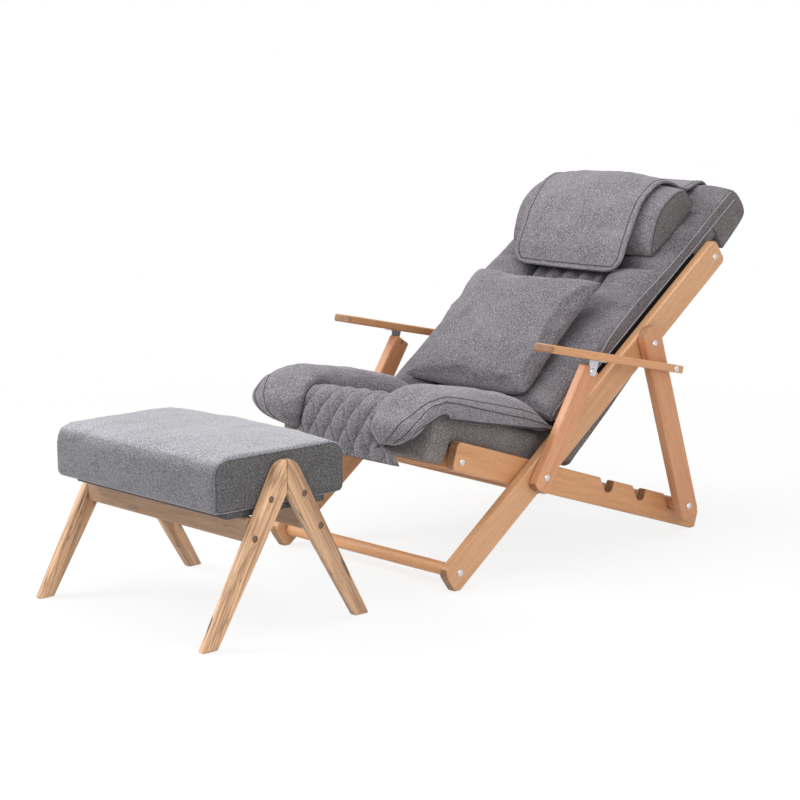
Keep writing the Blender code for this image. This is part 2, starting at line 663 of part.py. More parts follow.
def build_seat(frame, bottom):
    lip_wall = BASE_RAIL_FRONT - SOFT_FIT * 4

    def hang_lip(spot):
        """The front of the cushion hangs in front of the rails, down to its lip."""
        if spot.y < lip_wall:
            share = (SEAT_TOP - spot.z) / (SEAT_TOP - bottom)
            spot.z = SEAT_TOP - share * (SEAT_TOP - SEAT_LIP_BOTTOM)
        return spot

    half_u = (SEAT_REAR - SEAT_FRONT) / 2
    middle_u = (SEAT_REAR + SEAT_FRONT) / 2
    halves = (CUSHION_HALF, half_u, (SEAT_TOP - bottom) / 2)
    stops_u = sorted(stations(half_u, CUSHION_ROUND, 8) + [lip_wall - middle_u - FIT, lip_wall - middle_u + FIT])
    bm = bmesh.new()

    def shape(x, u, n):
        spot = rounded_place(x, u, n, halves, CUSHION_ROUND)
        rise = (spot.z + halves[2]) / (2 * halves[2])
        bow = (1 - (spot.x / halves[0]) ** 2) * (1 - (spot.y / halves[1]) ** 2)
        spot.z += SEAT_CROWN * bow * rise
        return hang_lip(spot + Vector((0, middle_u, (SEAT_TOP + bottom) / 2)))

    lattice_shell(bm, [stations(halves[0], CUSHION_ROUND, 7), stops_u, stations(halves[2], CUSHION_ROUND, 2)], shape)
    finish("seat_cushion", bm, "grey_chenille", frame, 60.0)

    rest = SEAT_TOP + SEAT_CROWN + SOFT_FIT
    knots = [(SEAT_PAD_REAR, rest), (-0.06, rest), (-0.20, rest), (SEAT_FRONT + 0.012, rest + 0.001),
             (SEAT_FRONT - 0.018, rest - 0.016), (SEAT_FRONT - 0.026, rest - 0.060),
             (SEAT_FRONT - 0.022, rest - SEAT_PAD_DROP)]
    length = sum(hypot(b[0] - a[0], b[1] - a[1]) for a, b in zip(knots, knots[1:]))
    rows = 2 * round(length / QUILT_STEP / 2)
    columns = 2 * round(SEAT_PAD_HALF / QUILT_STEP)

    def nose(share):
        return min(1.0, max(0.0, (share - SEAT_NOSE_START) / (SEAT_NOSE_END - SEAT_NOSE_START)))

    def half_width(share):
        """Full over the seat, then the bolsters end in round noses and only the quilted tongue goes on down."""
        rear = min(1.0, share / 0.25)
        wide = SEAT_PAD_HALF - 0.010 * (1 - rear)
        return SEAT_TONGUE_HALF + (wide - SEAT_TONGUE_HALF) * sqrt(1 - nose(share) ** 2)

    def thickness(side, share):
        """Thin quilted middle and a fat bolster at each side."""
        wide = half_width(share)
        x = abs(side) * wide
        rear = min(1.0, share / SEAT_BOLSTER_REAR)
        taper = (1 - nose(share) ** 3) * rear
        bolster = SEAT_BOLSTER * math.exp(-((x - SEAT_BOLSTER_X) / SEAT_BOLSTER_SPREAD) ** 2) * taper
        crest = min(SEAT_BOLSTER_X, wide * 0.8)
        edge = sqrt(max(0.0, 1 - max(0.0, (x - crest) / (wide - crest)) ** 2))
        ends = sqrt(max(0.0, min(1.0, share / 0.06) * min(1.0, (1 - share) / 0.05)))
        sink = 1 - 0.5 * min(1.0, share / SEAT_NOSE_START)
        lip = SEAT_NOSE_LIP * max(0.0, 1 - abs(share - SEAT_NOSE_START) / 0.10)
        low = SEAT_PAD_EDGE * (sink + lip) * (1 - 0.6 * nose(share) ** 2) * (0.5 + 0.5 * rear)
        body = (SEAT_PAD_CENTRE + bolster - low) * edge
        return low + body * (0.25 + 0.75 * ends)

    def sewn(x, share):
        return abs(x) < SEAT_TONGUE_HALF - QUILT_DEPTH and 0.05 < share < 0.97

    def droop(x, share):
        """Outside the box cushion the bolsters hang down beside it, further towards the front."""
        if abs(x) < CUSHION_HALF + 0.5 * CUSHION_ROUND:
            return 0.0
        return SEAT_PAD_DROOP * min(1.0, share / SEAT_NOSE_START) * (1 - nose(share))

    path = smooth_path(knots, rows)
    draped_pad("seat_pad", half_width, columns, path, thickness, "grey_chenille", frame, sewn, droop)


def build_back(frame):
    for word, side in SIDES:
        side_board("back_rail_" + word, back_rail_outline(), BACK_INNER, BACK_OUTER, side, frame,
                   holes=[(0, 0), (LEG_PIVOT_U, 0), (TOP_ROD_U, 0), (FOOT_ROD_U, 0)])
        bolt("top_rod_screw_" + word, side, BACK_OUTER, BACK_INNER - SCREW_DEPTH, TOP_ROD_U, 0.0, frame)
        bolt("foot_rod_screw_" + word, side, BACK_OUTER, BACK_INNER - SCREW_DEPTH, FOOT_ROD_U, 0.0, frame)
        bolt("leg_pivot_bolt_" + word, side, LEG_OUTER, BACK_INNER + FIT, LEG_PIVOT_U, 0.0, frame)
        washer("leg_washer_" + word, side, BACK_OUTER, LEG_PIVOT_U, 0.0, frame)
    half = BACK_INNER - FIT
    cross_rod("foot_rod", half, FOOT_ROD_RADIUS, FOOT_ROD_U, 0.0, frame)
    cross_rod("back_top_rod", half, TOP_ROD_RADIUS, TOP_ROD_U, 0.0, frame)
    build_back_cushions(frame)
    build_pillows(frame)


def build_back_cushions(frame):
    def sag(spot):
        """The cushion hangs from the top rod, so its lower half sags out behind the rails."""
        share = 1 - (spot.y - BACK_CUSHION_START) / (TOP_ROD_U - BACK_CUSHION_START)
        drop = max(0.0, min(1.0, share)) ** 0.7
        depth = (BACK_CUSHION_FRONT - spot.z) / (BACK_CUSHION_FRONT - BACK_CUSHION_REAR)
        spot.z -= BACK_SAG * drop * depth
        return spot

    cushion = box_cushion("back_cushion", CUSHION_HALF, (BACK_CUSHION_START, CAP_START - SOFT_FIT),
                          (BACK_CUSHION_REAR, BACK_CUSHION_FRONT), CUSHION_ROUND, 0.0, "grey_chenille", frame,
                          (6, 10, 2), sag)
    bore(cushion, [(0, TOP_ROD_U, 0)], -BACK_OUTER, BACK_OUTER, TOP_ROD_RADIUS + SOFT_FIT, sides=ROD_SIDES)
    box_cushion("head_cap", PAD_HALF - SOFT_FIT, (CAP_START, CAP_END), (CAP_REAR, CAP_FRONT), CUSHION_ROUND * 1.6,
                0.006, "grey_chenille", frame, (6, 2, 2), draw=0.0)
    backing_low = BACK_CUSHION_FRONT + SOFT_FIT
    backing = box_solid("pad_backing", (-PAD_HALF, BACK_CUSHION_START, backing_low),
                        (PAD_HALF, CAP_START - SOFT_FIT, BACKING_TOP), "black_fabric", frame, 0.006)
    spots = [(0, u, 0) for u in MOTOR_ROWS]
    bore(backing, spots, backing_low - BOARD, BACKING_TOP + BOARD, MOTOR_RADIUS + SOFT_FIT, along=2, sides=ROD_SIDES)
    low = backing_low + FIT
    high = BACKING_TOP - FIT
    for word, (x, u, _) in zip(("lower", "upper"), spots):
        bm = bmesh.new()
        lathe(bm, [(low, 0), (low, MOTOR_RADIUS * 0.8), (low + 0.004, MOTOR_RADIUS), (high - 0.010, MOTOR_RADIUS),
                   (high - 0.010, MOTOR_RADIUS * 0.62), (high, MOTOR_RADIUS * 0.55), (high, 0)], 2, (x, u, 0), ROD_SIDES)
        finish("massage_motor_" + word, bm, "motor_case", frame)

    rest = BACKING_TOP + SOFT_FIT
    path = [(CAP_START - SOFT_FIT * 3, rest), (BACK_CUSHION_START + 0.006, rest)]
    rows = 14
    path = [(path[0][0] + (path[1][0] - path[0][0]) * row / rows, rest) for row in range(rows + 1)]

    def thickness(side, share):
        x = abs(side) * PAD_HALF
        bolster = BACK_BOLSTER * math.exp(-((x - BACK_BOLSTER_X) / 0.055) ** 2)
        edge = sqrt(max(0.0, 1 - max(0.0, (x - BACK_BOLSTER_X) / (PAD_HALF - BACK_BOLSTER_X)) ** 2))
        ends = sqrt(max(0.0, min(1.0, share / 0.04) * min(1.0, (1 - share) / 0.04)))
        return PAD_EDGE + (BACK_PAD_CENTRE + bolster - PAD_EDGE) * edge * (0.2 + 0.8 * ends)

    draped_pad("back_pad", PAD_HALF, 20, path, thickness, "grey_chenille", frame)


def pillow(bm, half_x, half_u, thick, place, counts=(12, 12), corner=0.10):
    """A scatter pillow: full in the middle, thin at its seam, with its sides drawn in between the corners."""
    columns, rows = counts
    sheets = []
    for sign in (1, -1):
        sheet = []
        for row in range(rows + 1):
            line = []
            for column in range(columns + 1):
                a = sin(pi / 2 * (2 * column / columns - 1))
                b = sin(pi / 2 * (2 * row / rows - 1))
                rise = thick / 2 * ((1 - a ** 2) * (1 - b ** 2)) ** 0.42
                x = a * half_x * (1 - corner * (1 - b ** 2) * abs(a))
                u = b * half_u * (1 - corner * (1 - a ** 2) * abs(b))
                rim = row in (0, rows) or column in (0, columns)
                if sign < 0 and rim:
                    line.append(sheets[0][row][column])
                else:
                    line.append(bm.verts.new(place(x, u, sign * rise)))
            sheet.append(line)
        sheets.append(sheet)
        for row in range(rows):
            for column in range(columns):
                bm.faces.new((sheet[row][column], sheet[row][column + 1], sheet[row + 1][column + 1],
                              sheet[row + 1][column]))


def build_pillows(frame):
    pad_top = BACKING_TOP + SOFT_FIT + BACK_PAD_CENTRE + BACK_BOLSTER
    lumbar_n = pad_top + LUMBAR_SEAT
    bm = bmesh.new()

    def lumbar_place(x, u, n):
        along = u + LUMBAR_LENGTH / 2
        flat = max(n, -LUMBAR_FLAT)
        return (x, LUMBAR_START + along * cos(LUMBAR_TILT) - flat * sin(LUMBAR_TILT),
                lumbar_n + along * sin(LUMBAR_TILT) + flat * cos(LUMBAR_TILT))

    pillow(bm, LUMBAR_HALF, LUMBAR_LENGTH / 2, LUMBAR_THICK, lumbar_place)
    finish("lumbar_pillow", bm, "grey_chenille", frame, 60.0)

    low = pad_top + SOFT_FIT
    first = HEAD_PILLOW_START
    last = HEAD_PILLOW_START + HEAD_PILLOW_LENGTH
    crest = HEAD_PILLOW_START + HEAD_PILLOW_LENGTH * HEAD_PILLOW_CREST

    def dome(spot):
        """A D-shaped bolster: flat where it lies on the pad, with a long slope to the sitter's neck."""
        if spot.y < crest:
            fall = 0.90 * ((crest - spot.y) / (crest - first)) ** 2
        else:
            fall = 0.62 * ((spot.y - crest) / (last - crest)) ** 2
        spot.z = low + (spot.z - low) * sqrt(max(0.0, 1 - fall))
        return spot

    box_cushion("head_pillow", HEAD_PILLOW_HALF, (first, last), (low, low + HEAD_PILLOW_THICK), CUSHION_ROUND * 1.2,
                0.0, "grey_chenille", frame, (5, 6, 2), dome)

    top = low + HEAD_PILLOW_THICK + SOFT_FIT + FLAP_LIFT
    knots = [(CAP_END + 0.0008, 0.010), (CAP_END + 0.0014, 0.045), (CAP_END - 0.006, CAP_FRONT),
             (CAP_END - 0.034, CAP_FRONT + 0.024), (last + 0.012, top - 0.038), (last - 0.024, top - 0.008),
             (crest - 0.007, top + 0.0015), (crest - 0.047, top - 0.0025), (first + 0.054, top - 0.016),
             (first + 0.018, top - 0.035), (first - 0.014, top - 0.055), (first - 0.030, top - 0.074),
             (first - FLAP_HANG, pad_top + 0.0125)]

    def flap_half(share):
        corner = max(0.0, (share - 0.90) / 0.10)
        return FLAP_HALF * (1 - 0.16 * corner ** 3)

    draped_pad("head_flap", flap_half, 10, smooth_path(knots, 26), lambda side, share: FLAP_THICK,
               "grey_chenille", frame)


def build_prop(frame, length):
    outline = fillet([(-LEG_TOP_REACH, -LEG_WIDTH / 2, LEG_ROUND), (length + LEG_FOOT_REACH, -LEG_WIDTH / 2, END_ROUND),
                      (length + LEG_FOOT_REACH, LEG_WIDTH / 2, END_ROUND), (-LEG_TOP_REACH, LEG_WIDTH / 2, LEG_ROUND)])
    for word, side in SIDES:
        side_board("rear_leg_" + word, outline, LEG_INNER, LEG_OUTER, side, frame, holes=[(0, 0), (length, 0)])
        bolt("crossbar_screw_" + word, side, LEG_OUTER, LEG_INNER - SCREW_DEPTH, length, 0.0, frame)
    cross_rod("prop_crossbar", LEG_INNER - FIT, BAR_RADIUS, length, 0.0, frame)


def build_posts(frame):
    half = POST_WIDTH / 2
    outline = fillet([(-POST_FOOT_REACH, -half, END_ROUND), (POST_LENGTH + POST_TOP_REACH, -half, END_ROUND * 0.4),
                      (POST_LENGTH + POST_TOP_REACH, half, END_ROUND * 0.6), (-POST_FOOT_REACH, half, END_ROUND)])
    for word, side in SIDES:
        side_board("arm_post_" + word, outline, LEG_INNER, LEG_OUTER, side, frame,
                   holes=[(0, 0), (POST_LENGTH, 0)])


def build_arms(frame):
    def flat(point, depth):
        return (point[0], point[1], depth)

    bolt_n = ARM_DROP + ARM_THICK / 2
    plate_in = LEG_OUTER + FIT
    plate_out = plate_in + BRACKET_THICK
    under = ARM_DROP - FIT
    for word, side in SIDES:
        corners = [(ARM_INNER, ARM_REAR_REACH, ARM_ROUND * 0.6), (ARM_OUTER, ARM_REAR_REACH, ARM_ROUND),
                   (ARM_OUTER, -ARM_FRONT_REACH, ARM_ROUND), (LEG_INNER + FIT, -ARM_FRONT_REACH, ARM_ROUND),
                   (LEG_INNER + FIT, ARM_WIDE_REACH, ARM_ROUND * 0.5), (ARM_INNER, ARM_WIDE_REACH + ARM_INNER - LEG_INNER,
                                                                       ARM_ROUND * 0.5)]
        outline = [(side * x, s) for x, s in fillet(corners)]
        bm = bmesh.new()
        prism(bm, outline, ARM_DROP, ARM_DROP + ARM_THICK, flat)
        arm = finish("armrest_" + word, bm, "beech", frame)
        round_edges(arm)
        bore(arm, [(0, ARM_BOLT_S, bolt_n)], min(side * LEG_OUTER, side * ARM_OUTER * 1.2),
             max(side * LEG_OUTER, side * ARM_OUTER * 1.2), BOLT_RADIUS + FIT)
        bolt("armrest_bolt_" + word, side, ARM_OUTER, LEG_OUTER + FIT, ARM_BOLT_S, bolt_n, frame)

        plate = fillet([(-BRACKET_TOP_WIDTH / 2, under, 0.002), (-BRACKET_EYE, -BRACKET_EYE, BRACKET_EYE * 0.8),
                        (BRACKET_EYE, -BRACKET_EYE, BRACKET_EYE * 0.8), (BRACKET_TOP_WIDTH / 2, under, 0.002)])
        bm = bmesh.new()
        prism(bm, plate, side * plate_in, side * plate_out, across)
        flange = [(-BRACKET_TOP_WIDTH / 2, under - BRACKET_THICK), (BRACKET_TOP_WIDTH / 2, under - BRACKET_THICK),
                  (BRACKET_TOP_WIDTH / 2, under), (-BRACKET_TOP_WIDTH / 2, under)]
        flange_bm = bmesh.new()
        prism(flange_bm, flange, side * (plate_out - FIT), side * (plate_in + BRACKET_FLANGE), across)
        flange_item = finish("arm_bracket_flange_" + word, flange_bm, "zinc", frame)
        flange_item.hide_render = True
        flange_item.display_type = "WIRE"
        bracket = finish("arm_bracket_" + word, bm, "zinc", frame)
        union = bracket.modifiers.new("flange", "BOOLEAN")
        union.operation = "UNION"
        union.solver = "EXACT"
        union.object = flange_item
        bore(bracket, [(0, 0, 0)], min(side * BACK_OUTER, side * ARM_OUTER), max(side * BACK_OUTER, side * ARM_OUTER),
             BOLT_RADIUS + FIT)
        bolt("arm_pivot_bolt_" + word, side, plate_out, LEG_INNER + FIT, 0.0, 0.0, frame)


def stool_leg_outline(sign):
    """One tapered leg of an A-frame, mitred upright against its twin and cut flat on the floor."""
    mitre = FIT / 2
    peak = STOOL_FOOT_REACH / tan(STOOL_TILT)
    centre = peak - STOOL_TOP_ROUND / sin(STOOL_TILT)
    outline = [(mitre, STOOL_CROTCH)]
    steps = 4
    for step in range(steps + 1):
        angle = pi / 2 - (pi / 2 - STOOL_TILT) * step / steps
        outline.append((max(STOOL_TOP_ROUND * cos(angle), mitre), centre + STOOL_TOP_ROUND * sin(angle)))
    outline += [(STOOL_FOOT_REACH, 0.0), (STOOL_FOOT_REACH - STOOL_FOOT_WIDTH, 0.0)]
    return [(sign * u, n) for u, n in outline]


def stool_recess(height):
    """How far from the stool's middle a leg's screw recess is, at a height."""
    outer = STOOL_FOOT_REACH - height * tan(STOOL_TILT)
    inner = (STOOL_FOOT_REACH - STOOL_FOOT_WIDTH) * (1 - height / STOOL_CROTCH)
    return inner + RECESS_SHARE * (outer - inner)


def build_stool(frame):
    inner = STOOL_OUTER - STOOL_BOARD
    for word, side in SIDES:
        for end, sign in (("front", -1), ("back", 1)):
            bm = bmesh.new()
            prism(bm, stool_leg_outline(sign), side * inner, side * STOOL_OUTER, across)
            leg = finish("stool_leg_%s_%s" % (end, word), bm, "ash", frame)
            round_edges(leg, STOOL_EDGE_ROUND)
            spots = [(0, sign * stool_recess(height), height) for height in RECESS_HEIGHTS]
            low, high = sorted((side * (STOOL_OUTER - SCREW_RECESS), side * (STOOL_OUTER + BOARD)))
            bore(leg, spots, low, high, RECESS_RADIUS)
    rail_half = inner - FIT
    for end, sign in (("front", -1), ("back", 1)):
        middle = sign * STOOL_RAIL_OFFSET
        box_solid("stool_rail_" + end, (-rail_half, middle - STOOL_RAIL_THICK / 2, STOOL_RAIL_TOP - STOOL_RAIL_HEIGHT),
                  (rail_half, middle + STOOL_RAIL_THICK / 2, STOOL_RAIL_TOP), "ash", frame, 0.003)
    panel_low = STOOL_RAIL_TOP + FIT
    box_solid("stool_panel", (-rail_half + STOOL_PANEL, -STOOL_PANEL_HALF_Y, panel_low),
              (rail_half - STOOL_PANEL, STOOL_PANEL_HALF_Y, panel_low + STOOL_PANEL), "plywood", frame, 0.0015)
    bottom = panel_low + STOOL_PANEL + SOFT_FIT
    wrapped_cushion("stool_cushion", inner - SOFT_FIT, STOOL_CUSHION_HALF_Y, (bottom, bottom + STOOL_CUSHION_HEIGHT),
                    (STOOL_LOW_ROUND, STOOL_CUSHION_ROUND), STOOL_SEAM_ROUND, STOOL_CROWN, "light_chenille", frame)


def main():
    clear_scene()
    pivot = (0.0, PIVOT_Y, PIVOT_HEIGHT)
    base_axis = axis_empty("base_axis", None, pivot, BASE_LEAN)
    back_axis = axis_empty("back_axis", None, pivot, BACK_LEAN)
    leg_top = in_frame(BACK_LEAN, LEG_PIVOT_U, 0.0)
    bar = in_frame(BASE_LEAN, BAR_SEAT_U, BAR_SEAT_N)
    leg_length = hypot(bar[0] - leg_top[0], bar[1] - leg_top[1])
    leg_lean = atan2(bar[1] - leg_top[1], bar[0] - leg_top[0])
    prop_axis = axis_empty("prop_axis", back_axis, (0.0, LEG_PIVOT_U, 0.0), leg_lean - BACK_LEAN)
    post_axis = axis_empty("post_axis", back_axis, (0.0, 0.0, 0.0), POST_LEAN - BACK_LEAN)
    arm_axis = axis_empty("arm_axis", post_axis, (0.0, POST_LENGTH, 0.0), ARM_LEAN - POST_LEAN)
    stool_axis = axis_empty("stool_axis", None, (0.0, STOOL_Y, 0.0), 0.0)
    build_base(base_axis)
    build_back(back_axis)
    build_prop(prop_axis, leg_length)
    build_posts(post_axis)
    build_arms(arm_axis)
    build_stool(stool_axis)
    bpy.context.view_layer.update()
    print("leg length %.4f m, leg lean %.2f deg" % (leg_length, degrees(leg_lean)))


main()
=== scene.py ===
"""Looks for the folding massage lounge chair and its footstool."""
from math import copysign, cos, exp, pi, radians, sin, sqrt, tan

import bmesh
import bpy
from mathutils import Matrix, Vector, noise


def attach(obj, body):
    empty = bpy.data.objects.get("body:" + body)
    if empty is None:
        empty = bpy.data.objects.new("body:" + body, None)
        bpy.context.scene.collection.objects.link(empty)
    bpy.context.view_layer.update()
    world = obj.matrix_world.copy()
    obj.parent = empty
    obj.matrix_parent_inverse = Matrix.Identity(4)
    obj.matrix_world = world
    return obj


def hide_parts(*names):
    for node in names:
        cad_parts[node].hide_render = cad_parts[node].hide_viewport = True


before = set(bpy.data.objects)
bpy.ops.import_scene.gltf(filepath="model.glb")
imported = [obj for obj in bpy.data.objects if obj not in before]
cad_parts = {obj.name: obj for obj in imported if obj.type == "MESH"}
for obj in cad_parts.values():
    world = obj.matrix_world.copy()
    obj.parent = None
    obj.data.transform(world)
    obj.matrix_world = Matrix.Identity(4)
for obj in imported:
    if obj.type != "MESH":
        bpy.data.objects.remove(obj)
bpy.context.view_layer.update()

PIVOT_Y = 0.0900
PIVOT_Z = 0.2138
STOOL_Y = -0.6229
BACK_LEAN = radians(36.1)
BASE_LEAN = radians(-17.7)
POST_LEAN = radians(57.0)
ARM_LEAN = radians(-12.0)
LEG_LEAN = radians(-71.13)
STOOL_LEAN = radians(29.0)
SIDES = (("left", 1), ("right", -1))
QUILT_WIDTH = 0.050
QUILT_LENGTH = 0.096
THREAD = 0.0015
TUBE_SIDES = 6


def side_frame(lean):
    """Places (across, along the rail, square to it) points of a frame that turns about the main pivot."""
    def place(x, u, n):
        return Vector((x, PIVOT_Y + u * cos(lean) - n * sin(lean), PIVOT_Z + u * sin(lean) + n * cos(lean)))
    return place


on_back = side_frame(BACK_LEAN)
on_base = side_frame(BASE_LEAN)


def on_stool(x, u, n):
    return Vector((x, STOOL_Y + u, n))


# Materials


class Nodes:
    """Small helper for building one node material."""

    def __init__(self, name):
        self.material = bpy.data.materials.new(name)
        self.material.use_nodes = True
        self.tree = self.material.node_tree
        self.shader = self.tree.nodes["Principled BSDF"]

    def add(self, kind, **settings):
        node = self.tree.nodes.new(kind)
        for key, value in settings.items():
            if key in node.inputs:
                node.inputs[key].default_value = value
            else:
                setattr(node, key, value)
        return node

    def link(self, source, target):
        self.tree.links.new(source, target)

    def feed(self, name, source):
        self.link(source, self.shader.inputs[name])

    def set(self, **values):
        """Set the shader's own inputs; an underscore stands for a space in a name."""
        for key, value in values.items():
            self.shader.inputs[key.replace("_", " ")].default_value = value

    def coordinates(self, turn=(0, 0, 0), scale=(1, 1, 1), shift=0.0):
        texture = self.add("ShaderNodeTexCoord")
        mapping = self.add("ShaderNodeMapping", Rotation=turn)
        self.link(texture.outputs["Object"], mapping.inputs["Vector"])
        stretch = self.add("ShaderNodeMapping", Scale=scale, Location=(shift, shift * 0.7, shift * 0.3))
        self.link(mapping.outputs["Vector"], stretch.inputs["Vector"])
        return stretch.outputs["Vector"]

    def noise(self, vector, scale, detail=3.0, roughness=0.55, distortion=0.0):
        node = self.add("ShaderNodeTexNoise", Scale=scale, Detail=detail, Roughness=roughness,
                        Distortion=distortion)
        self.link(vector, node.inputs["Vector"])
        return node.outputs["Fac"]

    def ramp(self, value, stops):
        node = self.add("ShaderNodeValToRGB")
        elements = node.color_ramp.elements
        while len(elements) < len(stops):
            elements.new(0.5)
        for element, (position, colour) in zip(elements, stops):
            element.position = position
            element.color = (*colour, 1.0) if isinstance(colour, tuple) else (colour, colour, colour, 1.0)
        self.link(value, node.inputs["Fac"])
        return node.outputs["Color"]

    def mix(self, factor, first, second, blend="MIX"):
        node = self.add("ShaderNodeMix", data_type="RGBA", blend_type=blend)
        for value, socket in ((factor, node.inputs[0]), (first, node.inputs[6]), (second, node.inputs[7])):
            if isinstance(value, bpy.types.NodeSocket):
                self.link(value, socket)
            else:
                socket.default_value = value if isinstance(value, float) else (*value, 1.0)
        return node.outputs[2]

    def layered(self, colour, layers):
        """Lay paints over a colour, each as strong as its ramp of a value says."""
        for value, stops, paint in layers:
            colour = self.mix(self.ramp(value, stops), colour, paint)
        return colour

    def bump(self, height, strength, distance, normal=None):
        node = self.add("ShaderNodeBump", Strength=strength, Distance=distance)
        self.link(height, node.inputs["Height"])
        if normal is not None:
            self.link(normal, node.inputs["Normal"])
        return node.outputs["Normal"]


def shade(colour, factor):
    return tuple(max(0.0, channel * factor) for channel in colour)


def wood(name, light, dark, turn, ring=1.0, knots=0.0):
    """Lacquered wood whose grain runs along the turned Y axis."""
    made = Nodes(name)
    shift = sum(ord(letter) for letter in name) * 0.37

    def grain(across, along, *settings, moved=1.0):
        """Noise that is drawn out along the grain."""
        return made.noise(made.coordinates(turn, (across, along, across), shift * moved), 1.0, *settings)

    figure = grain(26.0 * ring, 1.3, 3.0, 0.5, 0.6)
    streak = grain(210.0, 9.0, 3.0, 0.6)
    dash = grain(420.0, 60.0, 1.0, 0.5)
    base = made.ramp(figure, [(0.30, dark), (0.45, shade(light, 0.93)), (0.58, light),
                              (0.72, shade(dark, 1.05))])
    layers = [(streak, [(0.35, 0.0), (0.75, 0.42)], shade(dark, 0.78)),
              (dash, [(0.62, 0.0), (0.72, 0.35)], shade(dark, 0.55))]
    if knots:
        rings = grain(64.0, 3.4, 2.0, 0.5, 1.2, moved=1.7)
        crack = grain(120.0, 13.0, 1.0, 0.4, moved=2.3)
        layers += [(rings, [(0.40, 0.0), (0.48, 0.75 * knots), (0.53, 0.0)], shade(dark, 0.70)),
                   (rings, [(0.54, 0.0), (0.62, 0.55 * knots), (0.70, 0.0)], shade(light, 1.22)),
                   (crack, [(0.67, 0.0), (0.71, 0.8 * knots)], shade(dark, 0.30))]
    made.feed("Base Color", made.layered(base, layers))
    made.feed("Roughness", made.ramp(streak, [(0.3, 0.40), (0.8, 0.56)]))
    made.feed("Normal", made.bump(streak, 0.10, 0.0006))
    made.set(Coat_Weight=0.06, Coat_Roughness=0.35)
    return made.material


def chenille(name, colour, sheen, contrast=1.0, upright_shade=1.0):
    """Short-pile upholstery with pale and dark flecks, a mottled nap, sheen and painted shade that darkens
    steep faces.
    """
    made = Nodes(name)
    fibre = made.noise(made.coordinates((0.4, 0.3, 0.2)), 380.0, 2.0, 0.7)
    clump = made.noise(made.coordinates((0.1, 0.5, 0.3)), 280.0, 2.0, 0.65, 0.4)
    nap = made.noise(made.coordinates((0.2, 0.1, 0.4), (1.0, 0.6, 1.3)), 13.0, 4.0, 0.60, 0.5)
    low, high = 1 - 0.70 * contrast, 1 + 1.05 * contrast
    flecked = made.ramp(fibre, [(0.31, shade(colour, low)), (0.50, shade(colour, 0.96)),
                                (0.68, shade(colour, high))])
    wear_and_shade = made.layered(flecked, (
        (clump, [(0.34, 0.52 * contrast), (0.52, 0.0)], shade(colour, 0.42)),
        (clump, [(0.54, 0.0), (0.74, 0.46 * contrast)], shade(colour, 1.75)),
        (nap, [(0.46, 0.0), (0.72, 0.34 * contrast)], shade(colour, 1.60)),
        (nap, [(0.28, 0.30 * contrast), (0.44, 0.0)], shade(colour, 0.62)),
    ))
    # Painted shade: steep faces are multiplied down to the given factor, so tops read as lit and sides as
    # shaded.
    if upright_shade != 1.0:
        texture = made.add("ShaderNodeTexCoord")
        parts = made.add("ShaderNodeSeparateXYZ")
        made.link(texture.outputs["Normal"], parts.inputs["Vector"])
        facing_shade = made.ramp(parts.outputs["Z"], [(0.30, upright_shade), (0.90, 1.0)])
        wear_and_shade = made.mix(1.0, wear_and_shade, facing_shade, "MULTIPLY")
    made.feed("Base Color", wear_and_shade)
    made.set(Roughness=0.95, Specular_IOR_Level=0.10, Sheen_Weight=sheen, Sheen_Roughness=0.38,
             Sheen_Tint=(0.84, 0.83, 0.87, 1.0))
    soft = made.bump(clump, 0.45, 0.0020)
    made.feed("Normal", made.bump(fibre, 0.60, 0.0012, soft))
    return made.material


def metal(name, colour, roughness):
    made = Nodes(name)
    wear = made.noise(made.coordinates(), 240.0, 3.0, 0.6)
    made.feed("Base Color", made.ramp(wear, [(0.3, shade(colour, 0.82)), (0.7, colour)]))
    made.feed("Roughness", made.ramp(wear, [(0.3, roughness * 0.8), (0.7, roughness * 1.3)]))
    made.set(Metallic=1.0)
    made.feed("Normal", made.bump(wear, 0.08, 0.0003))
    return made.material


def plastic(name, colour, roughness):
    made = Nodes(name)
    grain = made.noise(made.coordinates(), 900.0, 2.0, 0.5)
    made.feed("Base Color", made.ramp(grain, [(0.3, shade(colour, 0.85)), (0.7, shade(colour, 1.2))]))
    made.set(Roughness=roughness)
    made.feed("Normal", made.bump(grain, 0.15, 0.0003))
    return made.material


BEECH = (0.685, 0.342, 0.156)
BEECH_DARK = (0.560, 0.254, 0.106)
OAK = (0.765, 0.472, 0.276)
OAK_DARK = (0.470, 0.250, 0.126)
GREY = (0.188, 0.175, 0.190)
# Painted shade: the side greys are darker copies of the one grey cloth, for faces turned to the side and
# the stool's ends.
SIDE_SHADE_GREY = (0.172, 0.157, 0.155)
# Painted light: the stool grey is the colour of its lit top; steep faces are shaded down from it.
STOOL_LIT_TOP_GREY = (0.331, 0.327, 0.351)
STOOL_SIDE_SHADE_GREY = (0.119, 0.115, 0.117)

grey_cloth = chenille("grey_chenille_cloth", GREY, 0.42, 1.0, 0.92)
# Painted light and shade: lighter copies of the grey for the seat and flap, a darker one for the back, for
# how light falls on each.
lit_seat_cloth = chenille("grey_chenille_seat_lit", shade(GREY, 1.14), 0.42, 1.0, 0.92)
shaded_back_cloth = chenille("grey_chenille_back_shaded", shade(GREY, 0.87), 0.36, 1.0, 0.92)
lit_flap_cloth = chenille("grey_chenille_flap_lit", shade(GREY, 1.11), 0.42, 0.9)
